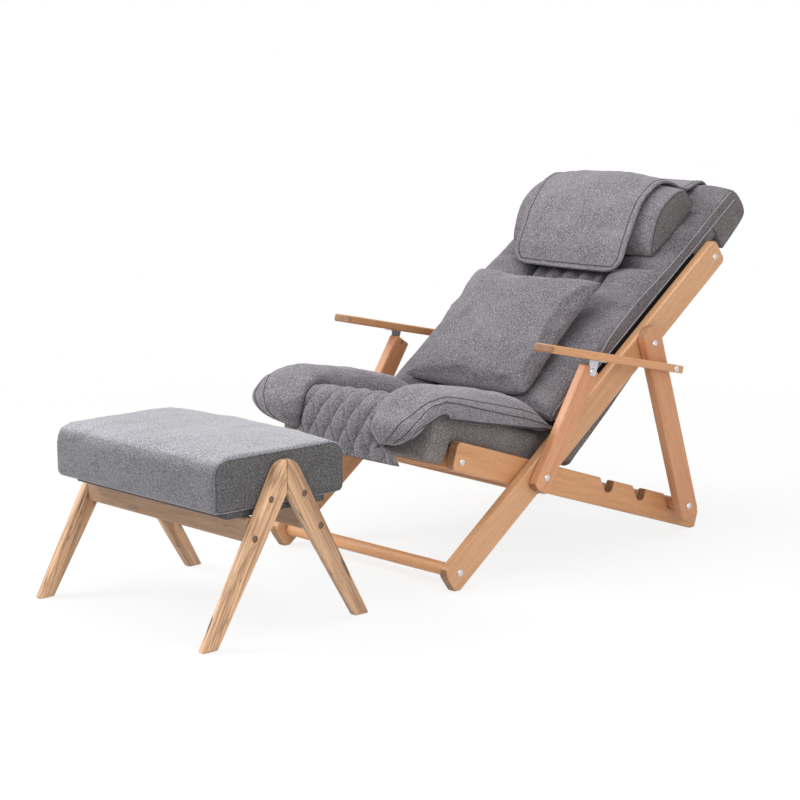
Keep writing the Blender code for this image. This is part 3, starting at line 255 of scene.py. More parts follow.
# Painted shade: the end, side and box cloths are shaded copies of the grey, matched to how dark each side
# looks.
pillow_end_shade_cloth = chenille("grey_chenille_end_shade", shade(SIDE_SHADE_GREY, 0.86), 0.12, 0.8)
side_shade_cloth = chenille("grey_chenille_side_shade", SIDE_SHADE_GREY, 0.12, 0.8)
box_side_shade_cloth = chenille("grey_chenille_box_shade", shade(SIDE_SHADE_GREY, 1.20), 0.12, 0.8)
stool_cloth = chenille("stool_chenille_cloth", STOOL_LIT_TOP_GREY, 0.60, 0.85, 0.480)
# Painted shade: the stool's end panels take a darker copy of its cloth.
stool_side_shade_cloth = chenille("stool_chenille_side_shade", STOOL_SIDE_SHADE_GREY, 0.10, 0.8)
seam_cloth = chenille("seam_thread", shade(GREY, 0.38), 0.0, 0.3)
# Painted highlight: the piping is a much lighter copy of the grey cloth, for the light along the cords.
lit_piping_cloth = chenille("piping_chenille_highlight", shade(GREY, 1.75), 0.6, 0.4)
# Painted shadow: the near-black cloth stands for the shade in the gap under the back pad.
shadow_black_cloth = chenille("black_backing_shadow_cloth", (0.016, 0.015, 0.016), 0.05, 0.6)
plug_look = plastic("screw_plug", (0.165, 0.110, 0.080), 0.6)


def dress_nodes():
    """Give every rigid CAD node its material, and the ends of the chair's boards a darker end-grain look
    that is also painted shade inside their notches.
    """
    stool_turn = radians(90.0) - STOOL_LEAN
    across = (0, 0, radians(90.0))
    boards = (
        (("base_rail",), "beech_base", BEECH, BEECH_DARK, BASE_LEAN),
        (("back_rail",), "beech_back", (0.695, 0.382, 0.196), (0.580, 0.286, 0.134), BACK_LEAN),
        (("rear_leg",), "beech_leg", (0.650, 0.318, 0.158), (0.535, 0.234, 0.106), LEG_LEAN),
        (("arm_post",), "beech_post", (0.690, 0.328, 0.168), (0.560, 0.242, 0.114), POST_LEAN),
        (("armrest_left", "armrest_right"), "beech_arm", shade(BEECH, 0.98), BEECH_DARK, ARM_LEAN),
    )
    looks = [(("screw", "bolt"), metal("nickel_steel", (0.70, 0.70, 0.70), 0.24))]
    looks += [(words, wood(name, light, dark, (-lean, 0, 0))) for words, name, light, dark, lean in boards]
    looks += [
        (("seat_front_rail", "seat_rear_rail", "foot_rod", "back_top_rod", "prop_crossbar"),
         wood("beech_cross", shade(BEECH, 1.12), shade(BEECH_DARK, 1.12), across)),
        (("stool_leg_front",), wood("oak_front_leg", OAK, OAK_DARK, (-stool_turn, 0, 0), 1.5, 1.2)),
        # Painted shade: darker copies of the oak for the back legs and, darkest, for the rails in the
        # cushion's shadow.
        (("stool_leg_back",),
         wood("oak_back_leg", shade(OAK, 0.80), shade(OAK_DARK, 0.78), (stool_turn, 0, 0), 1.5, 1.1)),
        (("stool_rail",), wood("oak_rail", shade(OAK, 0.57), shade(OAK_DARK, 0.59), across, 1.4, 0.3)),
        (("seat_board",), wood("plywood_board", (0.56, 0.42, 0.27), (0.44, 0.31, 0.19), (0, 0, 0))),
        # Painted shadow: the panel under the stool cushion is coloured dark to read as shade.
        (("stool_panel",), chenille("stool_panel_shadow_wrap", shade(STOOL_SIDE_SHADE_GREY, 0.95), 0.05, 0.8)),
        (("arm_bracket",), metal("zinc_plate", (0.66, 0.68, 0.72), 0.34)),
        (("washer",), plastic("nylon_black", (0.03, 0.03, 0.03), 0.5)),
        (("massage_motor",), plastic("motor_case", (0.05, 0.05, 0.055), 0.4)),
    ]
    # Board ends and notch walls take a much darker wood: real end grain, with painted shade inside the
    # notches.
    end_grain_and_shade = wood("beech_end_grain", shade(BEECH, 0.50), shade(BEECH_DARK, 0.42), (0, 0, 0), 2.0)
    for name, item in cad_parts.items():
        for words, look in looks:
            if any(word in name for word in words):
                item.data.materials.clear()
                item.data.materials.append(look)
                break
        for words, _, _, _, lean in boards:
            if name.startswith(words):
                item.data.materials.append(end_grain_and_shade)
                along = Vector((0, cos(lean), sin(lean)))
                for polygon in item.data.polygons:
                    polygon.material_index = 1 if abs(polygon.normal.dot(along)) > 0.55 else 0
        item.data.shade_smooth()
        item.data.set_sharp_from_angle(angle=radians(35))


dress_nodes()


# Mesh helpers


def add_object(name, data):
    item = bpy.data.objects.new(name, data)
    bpy.context.scene.collection.objects.link(item)
    return item


def outward(bm):
    """Turn all faces of a closed mesh outwards."""
    bmesh.ops.recalc_face_normals(bm, faces=bm.faces)
    if bm.calc_volume(signed=True) < 0:
        bmesh.ops.reverse_faces(bm, faces=bm.faces)


def finish_mesh(name, bm, look, body, smooth=70.0, side_shade_look=None, side_shade_limit=0.75):
    """Turn a bmesh into an object that rides on a body; faces square to X take the side look, painted shade
    for side faces.
    """
    outward(bm)
    mesh = bpy.data.meshes.new(name)
    bm.to_mesh(mesh)
    bm.free()
    mesh.materials.append(look)
    if side_shade_look:
        mesh.materials.append(side_shade_look)
        # Painted shade: faces turned towards X take the darker second material.
        for polygon in mesh.polygons:
            polygon.material_index = 1 if abs(polygon.normal.x) > side_shade_limit else 0
    mesh.shade_smooth()
    if smooth:
        mesh.set_sharp_from_angle(angle=radians(smooth))
    item = add_object(name, mesh)
    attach(item, body)
    return item


def cover_for(node):
    """Hide the CAD node that a padded piece stands for."""
    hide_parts(node)


def loops_mesh(loops, bm=None, closed=False):
    """A body through equal loops of points: capped at both ends, or closed to a ring."""
    bm = bm or bmesh.new()
    rings = [[bm.verts.new(spot) for spot in loop] for loop in loops]
    count = len(rings[0])
    for first, second in zip(rings, rings[1:] + rings[:1] if closed else rings[1:]):
        for index in range(count):
            nxt = (index + 1) % count
            bm.faces.new((first[index], first[nxt], second[nxt], second[index]))
    if not closed:
        bm.faces.new(list(reversed(rings[0])))
        bm.faces.new(rings[-1])
    return bm


def sheet_faces(bm, sheet):
    """Faces between the rows of a grid of corners."""
    for first, second in zip(sheet, sheet[1:]):
        for column in range(len(first) - 1):
            bm.faces.new((first[column], first[column + 1], second[column + 1], second[column]))


def cord_loops(spots, radius, sides, closed=False):
    """Loops of points round a cord along the spots."""
    count = len(spots)
    loops = []
    lift = Vector((0.31, 0.22, 0.93))
    for index, spot in enumerate(spots):
        before = spots[index - 1] if index or closed else spot
        after = spots[(index + 1) % count] if index < count - 1 or closed else spot
        run = (after - before).normalized()
        side = run.cross(lift).normalized()
        up = side.cross(run)
        loops.append([spot + (side * cos(2 * pi * k / sides) + up * sin(2 * pi * k / sides)) * radius
                      for k in range(sides)])
    return loops


def tube(name, spots, radius, look, body, closed=False):
    """A round cord or seam along points."""
    loops = cord_loops(spots, radius, TUBE_SIDES, closed)
    cord = finish_mesh(name, loops_mesh(loops, closed=closed), look, body, 0)
    return cord


def threads(name, lines, body):
    """Many sewn lines as one piece."""
    bm = bmesh.new()
    for spots in lines:
        loops_mesh(cord_loops(spots, THREAD, 5), bm)
    item = finish_mesh(name, bm, seam_cloth, body, 0)


def smooth_path(knots, count):
    """Evenly spread points on a Catmull-Rom curve through 2-D knots, and its length."""
    spots = [Vector(knot) for knot in knots]
    spots = [2 * spots[0] - spots[1]] + spots + [2 * spots[-1] - spots[-2]]
    fine = []
    for index in range(1, len(spots) - 2):
        a, b, c, d = spots[index - 1:index + 3]
        for step in range(32):
            t = step / 32
            fine.append(0.5 * (2 * b + (c - a) * t + (2 * a - 5 * b + 4 * c - d) * t ** 2
                               + (3 * b - a - 3 * c + d) * t ** 3))
    fine.append(spots[-2])
    reach = [0.0]
    for first, second in zip(fine, fine[1:]):
        reach.append(reach[-1] + (second - first).length)
    result = []
    cursor = 0
    for step in range(count + 1):
        goal = reach[-1] * step / count
        while cursor < len(reach) - 2 and reach[cursor + 1] < goal:
            cursor += 1
        share = (goal - reach[cursor]) / max(reach[cursor + 1] - reach[cursor], 1e-9)
        result.append(fine[cursor].lerp(fine[cursor + 1], min(max(share, 0.0), 1.0)))
    return result, reach[-1]


def squares(path):
    """Unit vectors square to a 2-D path, to its outer side."""
    result = []
    for index in range(len(path)):
        run = path[min(index + 1, len(path) - 1)] - path[max(index - 1, 0)]
        run.normalize()
        result.append(Vector((run.y, -run.x)))
    return result


def spread(low, high, count):
    """Even steps from low to high."""
    return [low + (high - low) * k / count for k in range(count + 1)]


def ease(value, low, high):
    share = min(1.0, max(0.0, (value - low) / (high - low)))
    return share * share * (3 - 2 * share)


def curve(value, rows):
    """A value read off (position, value) rows along a smooth curve through them."""
    count = len(rows)
    if value <= rows[0][0]:
        return rows[0][1]
    if value >= rows[-1][0]:
        return rows[-1][1]
    index = max(k for k in range(count - 1) if rows[k][0] <= value)

    def slope(k):
        if k in (0, count - 1):
            return 0.0
        before = (rows[k][1] - rows[k - 1][1]) / (rows[k][0] - rows[k - 1][0])
        after = (rows[k + 1][1] - rows[k][1]) / (rows[k + 1][0] - rows[k][0])
        return 0.0 if before * after <= 0 else 2 * before * after / (before + after)

    (start, first), (end, second) = rows[index], rows[index + 1]
    span = end - start
    t = (value - start) / span
    return ((2 * t ** 3 - 3 * t ** 2 + 1) * first + (t ** 3 - 2 * t ** 2 + t) * span * slope(index)
            + (3 * t ** 2 - 2 * t ** 3) * second + (t ** 3 - t ** 2) * span * slope(index + 1))


def quilt(x, s, depth):
    """Height of a diamond-quilted cover: zero on its seams, full in each diamond."""
    a = abs(sin(pi * (x / QUILT_WIDTH + s / QUILT_LENGTH)))
    b = abs(sin(pi * (x / QUILT_WIDTH - s / QUILT_LENGTH)))
    return depth * ((a * b) ** 0.42)


def quilt_lines(rows, pitch, limit, place):
    """The quilt's seams: for each, the places along it that lie within the limit across the pad."""
    lines = []
    for lean in (1, -1):
        for number in range(-14, 15):
            spots = []
            for row in rows:
                s = row * pitch
                x = QUILT_WIDTH * (number - lean * s / QUILT_LENGTH)
                if abs(x) < limit(row):
                    spots.append(place(x, row))
            if len(spots) > 3:
                lines.append(spots)
    return lines


def ripple(spot, scale, seed=0.0):
    return noise.noise(Vector(spot) * scale + Vector((seed, seed * 0.7, seed * 1.3)))


def columns_of(fold, half):
    """Points across a pad, from its left edge to its right, with a column on each fold."""
    outer, inner = 34, 90
    wing = [half - (half - fold) * (1 - cos(pi / 2 * k / outer)) for k in range(outer)]
    middle = [fold * (1 - 2 * k / inner) for k in range(inner + 1)]
    return wing + middle + [-x for x in reversed(wing)]


def pad_on(place, name, path, section, look, body):
    """A pad whose section(share) gives (x, height) points round it, square to the path."""
    loops = []
    rows = len(path) - 1
    for row, (spot, square) in enumerate(zip(path, squares(path))):
        loops.append([place(x, spot.x + square.x * h, spot.y + square.y * h)
                      for x, h in section(row / rows)])
    return finish_mesh(name, loops_mesh(loops), look, body)


def dome(across, crest, inner, peak, edge):
    """A bolster's section from the fold (0) over its crest to the seam at its edge (1)."""
    if across < crest:
        return inner + (peak - inner) * sin(pi / 2 * across / crest) ** 0.55
    return edge + (peak - edge) * max(0.0, cos(pi / 2 * (across - crest) / (1 - crest))) ** 0.60


def overhang(side, fold, half, reach):
    """A bolster's point across the pad, pushed over the fold towards the middle by up to the reach."""
    across = (side - fold) / (half - fold)
    if across <= 0:
        return side
    return side - reach * sin(pi * min(1.0, (across / 0.5) ** 0.7))


def pad_section(below, walls, fold, half, reach, height):
    """Points round a pad: its underside, its left wall, its top with both bolsters, its right wall."""
    loop = below + [(half + proud, h) for proud, h in walls]
    loop += [(copysign(overhang(abs(x), fold, half, reach), x), height(x)) for x in columns_of(fold, half)]
    return loop + [(-half - proud, h) for proud, h in reversed(walls)]


# Seat


SEAT_REST = 0.0995
SEAT_REAR = 0.040
SEAT_FRONT = -0.300
SEAT_FOLD = 0.128
TONGUE_HALF = 0.135
NOSE_START = 0.800
NOSE_END = 0.925
HEM_LIFT = 0.0045
SEAT_PEAKS = ((0.0, 0.020), (0.04, 0.035), (0.08, 0.0485), (0.12, 0.057), (0.18, 0.060), (0.31, 0.0575),
              (0.44, 0.052), (0.56, 0.0435), (0.64, 0.037), (0.70, 0.035), (0.77, 0.042), (0.84, 0.056),
              (0.89, 0.050), (0.915, 0.034), (0.93, 0.014), (1.0, 0.010))
SEAT_EDGES = ((0.0, 0.0150), (0.16, 0.0155), (0.30, 0.0130), (0.44, 0.0105), (0.58, 0.0070), (0.66, 0.0050),
              (0.72, 0.012), (0.77, 0.034), (0.84, 0.049), (0.89, 0.044), (0.915, 0.029), (0.93, 0.010),
              (1.0, 0.008))
SEAT_UNDERS = ((0.0, 0.0075), (0.14, 0.0), (0.35, -0.0115), (0.55, -0.0230), (0.66, -0.0290),
               (0.70, -0.0270), (0.735, -0.012), (0.775, 0.006), (0.85, 0.044), (0.89, 0.034),
               (0.915, 0.018), (0.93, 0.0), (1.0, 0.0))


def seat_nose(share):
    return min(1.0, max(0.0, (share - NOSE_START) / (NOSE_END - NOSE_START)))


def seat_half(share):
    """Full over the seat; then the bolsters end in round noses and the quilted tongue flares down."""
    wide = 0.272 - 0.010 * (1 - min(1.0, share / 0.25))
    flare = 0.052 * max(0.0, (share - NOSE_END) / (1 - NOSE_END))
    return TONGUE_HALF + (wide - TONGUE_HALF) * sqrt(1 - seat_nose(share) ** 2) + flare


def seat_fold(share):
    """Where the bolster meets the quilt."""
    return min(SEAT_FOLD, seat_half(share) - 0.006)


def seat_dip(x, u):
    """How deep the seat is sunk between the bolsters, most at its front edge."""
    deep = 0.0120 - 0.035 * x
    return deep * ease(-u, 0.02, 0.23) * (1 - ease(-u, 0.302, 0.330)) * (1 - ease(abs(x), SEAT_FOLD, 0.175))


def seat_path(count):
    knots = [(SEAT_REAR, SEAT_REST), (-0.06, SEAT_REST), (-0.20, SEAT_REST)]
    knots += [(SEAT_FRONT + ahead, SEAT_REST + rise)
              for ahead, rise in ((0.012, 0.001), (-0.018, -0.016), (-0.026, -0.060), (-0.022, -0.146))]
    return smooth_path(knots, count)


def make_seat():
    rows = 200
    path, length = seat_path(rows)

    def dip_at(x, share):
        return seat_dip(x, SEAT_REAR - share * length)

    def hang(share):
        """How far the pad stands off the seat where it bends down."""
        return 0.015 * ease(share, 0.69, 0.80) * (1 - ease(share, 0.88, 1.0))

    def height(x, share):
        side = abs(x)
        s = share * length
        fold = seat_fold(share)
        tongue = ease(share, NOSE_END - 0.02, NOSE_END + 0.02)
        if side <= fold or tongue >= 1:
            body = 0.0035 + quilt(x, s, 0.0118) + 0.0008 * ripple((x, s, 0), 30.0, 6.0)
            body = 0.0025 + (body - 0.0025) * ease(seat_half(share) - side, 0.0, 0.012)
            body = 0.0015 + (body - 0.0015) * max(tongue, ease(fold - side, -0.002, 0.016))
            body *= 0.7 + 0.3 * ease(share, 0.0, 0.04)
            return body + 0.003 * tongue + hang(share) - dip_at(x, share)
        half = seat_half(share)
        across = (side - fold) / (half - fold)
        peak = curve(share, SEAT_PEAKS)
        inner = min(0.0015 + hang(share) - dip_at(copysign(fold, x), share), peak)
        rise = dome(across, 0.45, inner, peak, min(curve(share, SEAT_EDGES), peak))
        bump = 0.0022 * ripple((x * 1.2, s * 0.8, 0), 26.0, 3.0) + 0.0013 * ripple((x, s, 0), 68.0, 5.0)
        crease = 0.0022 * sin(s * 210 + x * 130) * ease(share, 0.68, 0.80) * ease(0.45 - across, 0.0, 0.4)
        return rise + (bump + crease) * sin(pi * across) * min(1.0, peak / 0.03)

    def under(x, share):
        half = seat_half(share)
        low = curve(share, SEAT_UNDERS)
        return low * ease(abs(x), min(CUSHION_HALF, half - 0.034), half) - dip_at(x, share)

    def section(share):
        half = seat_half(share)
        top, low = min(curve(share, SEAT_EDGES), curve(share, SEAT_PEAKS)), curve(share, SEAT_UNDERS)
        stops = [half * sin(pi / 2 * (2 * k / 28 - 1)) for k in range(29)]
        below = [(x, under(x, share)) for x in stops]
        walls = [(0.0030, low + (top - low) * 0.32), (0.0034, low + (top - low) * 0.66)]
        reach = (0.010 + 0.014 * ease(share, 0.55, 0.78)) * (1 - ease(share, 0.86, 0.925))
        return pad_section(below, walls, seat_fold(share), half, reach, lambda x: height(x, share))

    pad = pad_on(on_base, "seat_pad_cover", path, section, lit_seat_cloth, "base_frame")
    cover_for("seat_pad")

    normals = squares(path)

    def spot_at(x, row, h):
        spot = path[row] + normals[row] * h
        return on_base(x, spot.x, spot.y)

    def on_quilt(x, row):
        return spot_at(x, row, height(x, row / rows))

    def quilted(row):
        flare = 0.06 * ease(row / rows, NOSE_END, 1.0)
        return min(seat_fold(row / rows) - 0.002, SEAT_FOLD + flare)

    lines = quilt_lines(range(6, rows - 3, 2), length / rows, quilted, on_quilt)
    threads("seat_quilting", lines, "base_frame")
    last = round(rows * 0.928)
    for word, side in SIDES:
        # The lower cord is thick and dark: a seam, with painted shadow of the gap under the bolster.
        spots = [spot_at(side * (seat_half(row / rows) - 0.0004), row,
                         curve(row / rows, SEAT_UNDERS) - 0.0004) for row in range(4, last)]
        tube("seat_seam_shadow_lower_" + word, spots, 0.0022, seam_cloth, "base_frame")
        for level, wide, narrow, first in (("middle", 1.0, 0.90, 0.02), ("upper", 0.93, 0.62, 0.10)):
            spots = []
            for row in range(round(rows * first), round(rows * 0.915)):
                share = row / rows
                half, fold = seat_half(share), seat_fold(share)
                across = wide + (narrow - wide) * ease(share, 0.70, 0.87)
                x = side * (fold + (half - fold) * across)
                proud = side * (0.0008 if across > 0.98 else 0.0)
                spots.append(spot_at(x + proud, row, height(x, share) + 0.0003))
            tube("seat_seam_%s_%s" % (level, word), spots, 0.0009, seam_cloth, "base_frame")
    edges = [[spot_at(side * (seat_half(row / rows) + 0.0005), row, HEM_LIFT)
              for row in range(last, rows + 1)] for word, side in SIDES]
    wide = seat_half(1.0)
    across = [spot_at(wide * (1 - 2 * k / 48), rows, HEM_LIFT) for k in range(1, 48)]
    tube("seat_hem", edges[0] + across + edges[1][::-1], 0.0030, lit_seat_cloth, "base_frame")


# Soft boxes


CUSHION_HALF = 0.236
CUSHION_ROUND = 0.016


def stations(half, rounding, inner, arc=4):
    stops = [-half + rounding * (1 - cos(pi / 4 * k / arc)) for k in range(arc)]
    flat = half - rounding
    return stops + spread(-flat, flat, inner) + [-stop for stop in reversed(stops)]


def lattice_shell(axes, shape):
    bm = bmesh.new()
    limits = [len(axis) - 1 for axis in axes]
    corners = {}

    def corner(key):
        if key not in corners:
            corners[key] = bm.verts.new(shape(*(axis[index] for axis, index in zip(axes, key))))
        return corners[key]

    for fixed in range(3):
        first, second = [axis for axis in range(3) if axis != fixed]
        for level in (0, limits[fixed]):
            for i in range(limits[first]):
                for j in range(limits[second]):
                    quad = []
                    for di, dj in ((0, 0), (1, 0), (1, 1), (0, 1)):
                        key = [0, 0, 0]
                        key[fixed], key[first], key[second] = level, i + di, j + dj
                        quad.append(corner(tuple(key)))
                    bm.faces.new(quad)
    return bm


def rounded_spot(x, u, n, halves, rounding):
    core = Vector([max(rounding - half, min(half - rounding, value))
                   for half, value in zip(halves, (x, u, n))])
    away = Vector((x, u, n)) - core
    if away.length > 0:
        away = away.normalized() * rounding
    return core + away


def soft_box(name, half_x, span_u, span_n, rounding, look, counts, puff, reshape=None, wave=0.0012):
    """A foam cushion on the back with rounded edges, gently bowed faces and a slightly uneven cover."""
    half_u = (span_u[1] - span_u[0]) / 2
    half_n = (span_n[1] - span_n[0]) / 2
    halves = (half_x, half_u, half_n)
    middle = Vector((0, sum(span_u) / 2, sum(span_n) / 2))

    def shape(x, u, n):
        spot = rounded_spot(x, u, n, halves, rounding)
        a, b, c = spot.x / half_x, spot.y / half_u, spot.z / half_n
        spot.x += copysign(puff * abs(a) ** 6 * (1 - b * b) * (1 - c * c), a)
        spot.y += copysign(puff * abs(b) ** 6 * (1 - a * a) * (1 - c * c), b)
        spot += middle
        uneven = wave * ripple(spot, 22.0, 1.7)
        spot.z += uneven * (0.3 if c > 0 else 1.0)
        spot.x += uneven * a * 0.5
        if reshape:
            spot = reshape(spot)
        return on_back(spot.x, spot.y, spot.z)

    axes = [stations(half, rounding, count) for half, count in zip(halves, counts)]
    return finish_mesh(name, lattice_shell(axes, shape), look, "back_frame")


def make_seat_cushion():
    bottom, top, rear = 0.0183, 0.095, 0.046
    lip_wall, lip_bottom = -0.244, -0.0255

    def hang_lip(spot):
        """In front of the seat board the cushion reaches further down."""
        if spot.y < lip_wall:
            share = (top - spot.z) / (top - bottom)
            spot.z = top - share * (top - lip_bottom)
        return spot

    half_u = (rear - SEAT_FRONT) / 2
    middle_u = (rear + SEAT_FRONT) / 2
    halves = (CUSHION_HALF, half_u, (top - bottom) / 2)
    axes = [stations(half, CUSHION_ROUND, count) for half, count in zip(halves, (24, 24, 6))]
    axes[1] = sorted(axes[1] + [lip_wall - middle_u - 0.0004, lip_wall - middle_u + 0.0004])

    def shape(x, u, n):
        spot = rounded_spot(x, u, n, halves, CUSHION_ROUND)
        a, b, c = (spot.x / halves[0], spot.y / halves[1], spot.z / halves[2])
        rise = (c + 1) / 2
        spot.z += 0.004 * (1 - a * a) * (1 - b * b) * rise
        spot.x += copysign(0.0025 * abs(a) ** 6 * (1 - b * b) * (1 - c * c), a)
        spot += Vector((0, middle_u, (top + bottom) / 2))
        spot.x += 0.0012 * ripple(spot, 26.0, 4.0) * a
        spot.y += 0.0014 * ripple(spot, 24.0, 6.0) * b * (1 if b < 0 else 0.3)
        spot.z -= rise * (seat_dip(spot.x, spot.y) + 0.0005 + 0.003 * ease(-spot.y, 0.20, 0.26))
        spot = hang_lip(spot)
        return on_base(spot.x, spot.y, spot.z)

    cushion = finish_mesh("seat_cushion_cover", lattice_shell(axes, shape), box_side_shade_cloth, "base_frame")
    cover_for("seat_cushion")


# Back


BACK_REST = 0.0415
PAD_HALF = 0.262
PAD_START = 0.124
CAP_START = 0.802
PAD_FOLD = 0.122
PAD_HEAD = (0.60, 0.66)
PAD_FLAT = 0.0285
BACK_EDGES = ((0.12, 0.017), (0.33, 0.0190), (0.37, 0.0265), (0.43, 0.0310), (0.49, 0.0315), (0.57, 0.0268),
              (0.66, 0.0230), (0.74, 0.0225), (0.81, 0.0235), (0.90, 0.0235))


def make_back_cushion():
    foot, level = 0.118, 0.741
    face, thick = 0.012, 0.062
    shadow_top = 0.655

    def sag(spot):
        """The cushion gets thicker towards its lower end."""
        share = 1 - (spot.y - foot) / (level - foot)
        drop = max(0.0, min(1.0, share)) ** 0.7
        depth = (face - spot.z) / thick
        spot.z -= thick * drop * max(0.0, depth)
        return spot

    # Painted shade: the back cushion, seen from the side, is covered in the darker side cloth.
    cushion = soft_box("back_cushion_cover", CUSHION_HALF, (foot, 0.8015), (-0.050, face), CUSHION_ROUND,
                       side_shade_cloth, (20, 36, 6), 0.002, sag)
    cover_for("back_cushion")

    # Painted shadow: the backing is near black low down, where the gap under the pad lies in shade, and
    # side grey higher up.
    backing = soft_box("pad_backing_cover", 0.2605, (0.1185, 0.8010), (0.0128, 0.0408), 0.006, shadow_black_cloth,
                       (16, 40, 2), 0.0, None, 0.0003)
    backing.data.materials.append(side_shade_cloth)
    for polygon in backing.data.polygons:
        polygon.material_index = 1 if polygon.center.z > shadow_top else 0
    cover_for("pad_backing")


def make_back_pad():
    rows = 170
    top_end = CAP_START - 0.0002
    length = top_end - PAD_START
    path = [Vector((top_end - length * row / rows, BACK_REST)) for row in range(rows + 1)]

    def ends(share):
        return ease(1 - share, -0.002, 0.030)

    def firm(end):
        """How much of its height the pad keeps near its lower end."""
        return 0.55 + 0.45 * end

    def height(x, share):
        s = share * length
        u = top_end - s
        side = abs(x)
        soft_end = firm(ends(share))
        head = ease(u, *PAD_HEAD)
        lift = 0.010 * ease(u, 0.72, CAP_START)
        if side <= PAD_FOLD:
            body = 0.0190 + quilt(x, s, 0.0120)
            body = 0.008 + (body - 0.008) * ease(PAD_FOLD - side, -0.002, 0.022)
            return (body * (1 - head) + PAD_FLAT * head) * soft_end
        across = (side - PAD_FOLD) / (PAD_HALF - PAD_FOLD)
        inner = 0.008 + 0.0205 * head
        rise = dome(across, 0.46, inner, 0.0490 - lift, curve(u, BACK_EDGES))
        pleat = 0.0034 * ripple((x * 0.6, s * 1.6, 0), 24.0, 9.0) + 0.0014 * ripple((x, s, 0), 60.0, 2.0)
        tuck = 0.018 * exp(-((u - 0.595) / 0.012) ** 2) - 0.006 * exp(-((u - 0.560) / 0.022) ** 2)
        return (rise + (pleat - tuck * (1 - 0.7 * across ** 2)) * sin(pi * across) ** 0.5) * soft_end

    def section(share):
        half = PAD_HALF - 0.004 * (1 - ends(share))
        rim = curve(top_end - share * length, BACK_EDGES) * firm(ends(share))
        below = [(half * (2 * k / 10 - 1), 0.0) for k in range(11)]
        walls = [(0.0018, rim * 0.3), (0.0022, rim * 0.66)]
        reach = 0.013 * (1 - ease(top_end - share * length, *PAD_HEAD))
        return pad_section(below, walls, PAD_FOLD, half, reach, lambda x: height(x, share))

    pad = pad_on(on_back, "back_pad_cover", path, section, shaded_back_cloth, "back_frame")
    cover_for("back_pad")

    def on_quilt(x, row):
        return on_back(x, path[row].x, path[row].y + height(x, row / rows))

    lines = quilt_lines(range(48, rows - 3), length / rows, lambda row: PAD_FOLD - 0.002, on_quilt)
    threads("back_quilting", lines, "back_frame")
    seam_end = 0.896
    for word, side in SIDES:
        upper = []
        lower = []
        for u in spread(PAD_START + 0.006, seam_end, 120):
            soft = firm(ease(u, PAD_START - 0.002, PAD_START + 0.022))
            edge = BACK_REST + curve(u, BACK_EDGES) * soft
            upper.append(on_back(side * (PAD_HALF + 0.0004), u, edge + 0.0004))
            lower.append(on_back(side * (PAD_HALF + 0.0010), u, BACK_REST + 0.0006))
        # Both cords take the light piping cloth: painted highlight.
        tube("back_seam_upper_" + word, upper, 0.0014, lit_piping_cloth, "back_frame")
        tube("back_piping_lower_" + word, lower, 0.0019, lit_piping_cloth, "back_frame")


CAP_FOOT = 0.8021
CAP_BROW = 0.8950
CAP_PROFILE = ((-0.029, CAP_FOOT), (-0.027, 0.830), (-0.0245, 0.858), (-0.0215, 0.884), (-0.0185, 0.900),
               (-0.0135, 0.9115), (-0.006, 0.9172), (0.005, 0.9198), (0.018, 0.9205), (0.032, 0.9195),
               (0.0455, 0.9165), (0.056, 0.9110), (0.063, 0.9040), (0.0675, CAP_BROW))


def make_head_cap():
    """The end of the pad: its top runs on from the pad's bolsters and rolls over the head end."""
    half = 0.2615

    def crest(x):
        side = abs(x)
        if side <= PAD_FOLD:
            return BACK_REST + PAD_FLAT
        return BACK_REST + dome((side - PAD_FOLD) / (half - PAD_FOLD), 0.46, PAD_FLAT, 0.0390, 0.0235)

    def loop_at(x, shrink):
        across = max(0.0, (abs(x) - PAD_FOLD) / (half - PAD_FOLD))
        bulge = 0.013 * sin(pi * min(1.0, across)) ** 0.6 if 0 < across < 1 else 0.0
        points = [Vector((u, n + bulge * ease(n, 0.020, 0.066))) for n, u in CAP_PROFILE]
        start = crest(x)
        end = 0.0680 + bulge
        tops = 12
        for k in range(1, tops + 1):
            share = k / tops
            u = CAP_BROW - (CAP_BROW - CAP_FOOT) * share
            points.append(Vector((u, end + (start - end) * ease(share, 0.0, 1.0))))
        middle = Vector((0.860, 0.018))
        uneven = 0.0010 * ripple((x, 0.3, 0.1), 20.0, 3.0)
        result = []
        for point in points:
            away = point - middle
            reach = away.length
            spot = middle + away * max(0.0, 1 - (shrink - uneven) / max(reach, 0.02))
            result.append(on_back(x, max(spot.x, CAP_FOOT), spot.y))
        return result

    edge = 0.0035
    stops = [(-half, 0.004), (-half + 0.0012, 0.0014)]
    stops += [(x, 0.0) for x in spread(-half + edge, half - edge, 60)]
    stops += [(half - 0.0012, 0.0014), (half, 0.004)]
    loops = [loop_at(x, shrink) for x, shrink in stops]
    # Painted shade: the cap's end faces take the darker side cloth.
    cap = finish_mesh("head_cap_cover", loops_mesh(loops), shaded_back_cloth, "back_frame", 70.0, side_shade_cloth)
    cover_for("head_cap")


# Pillows


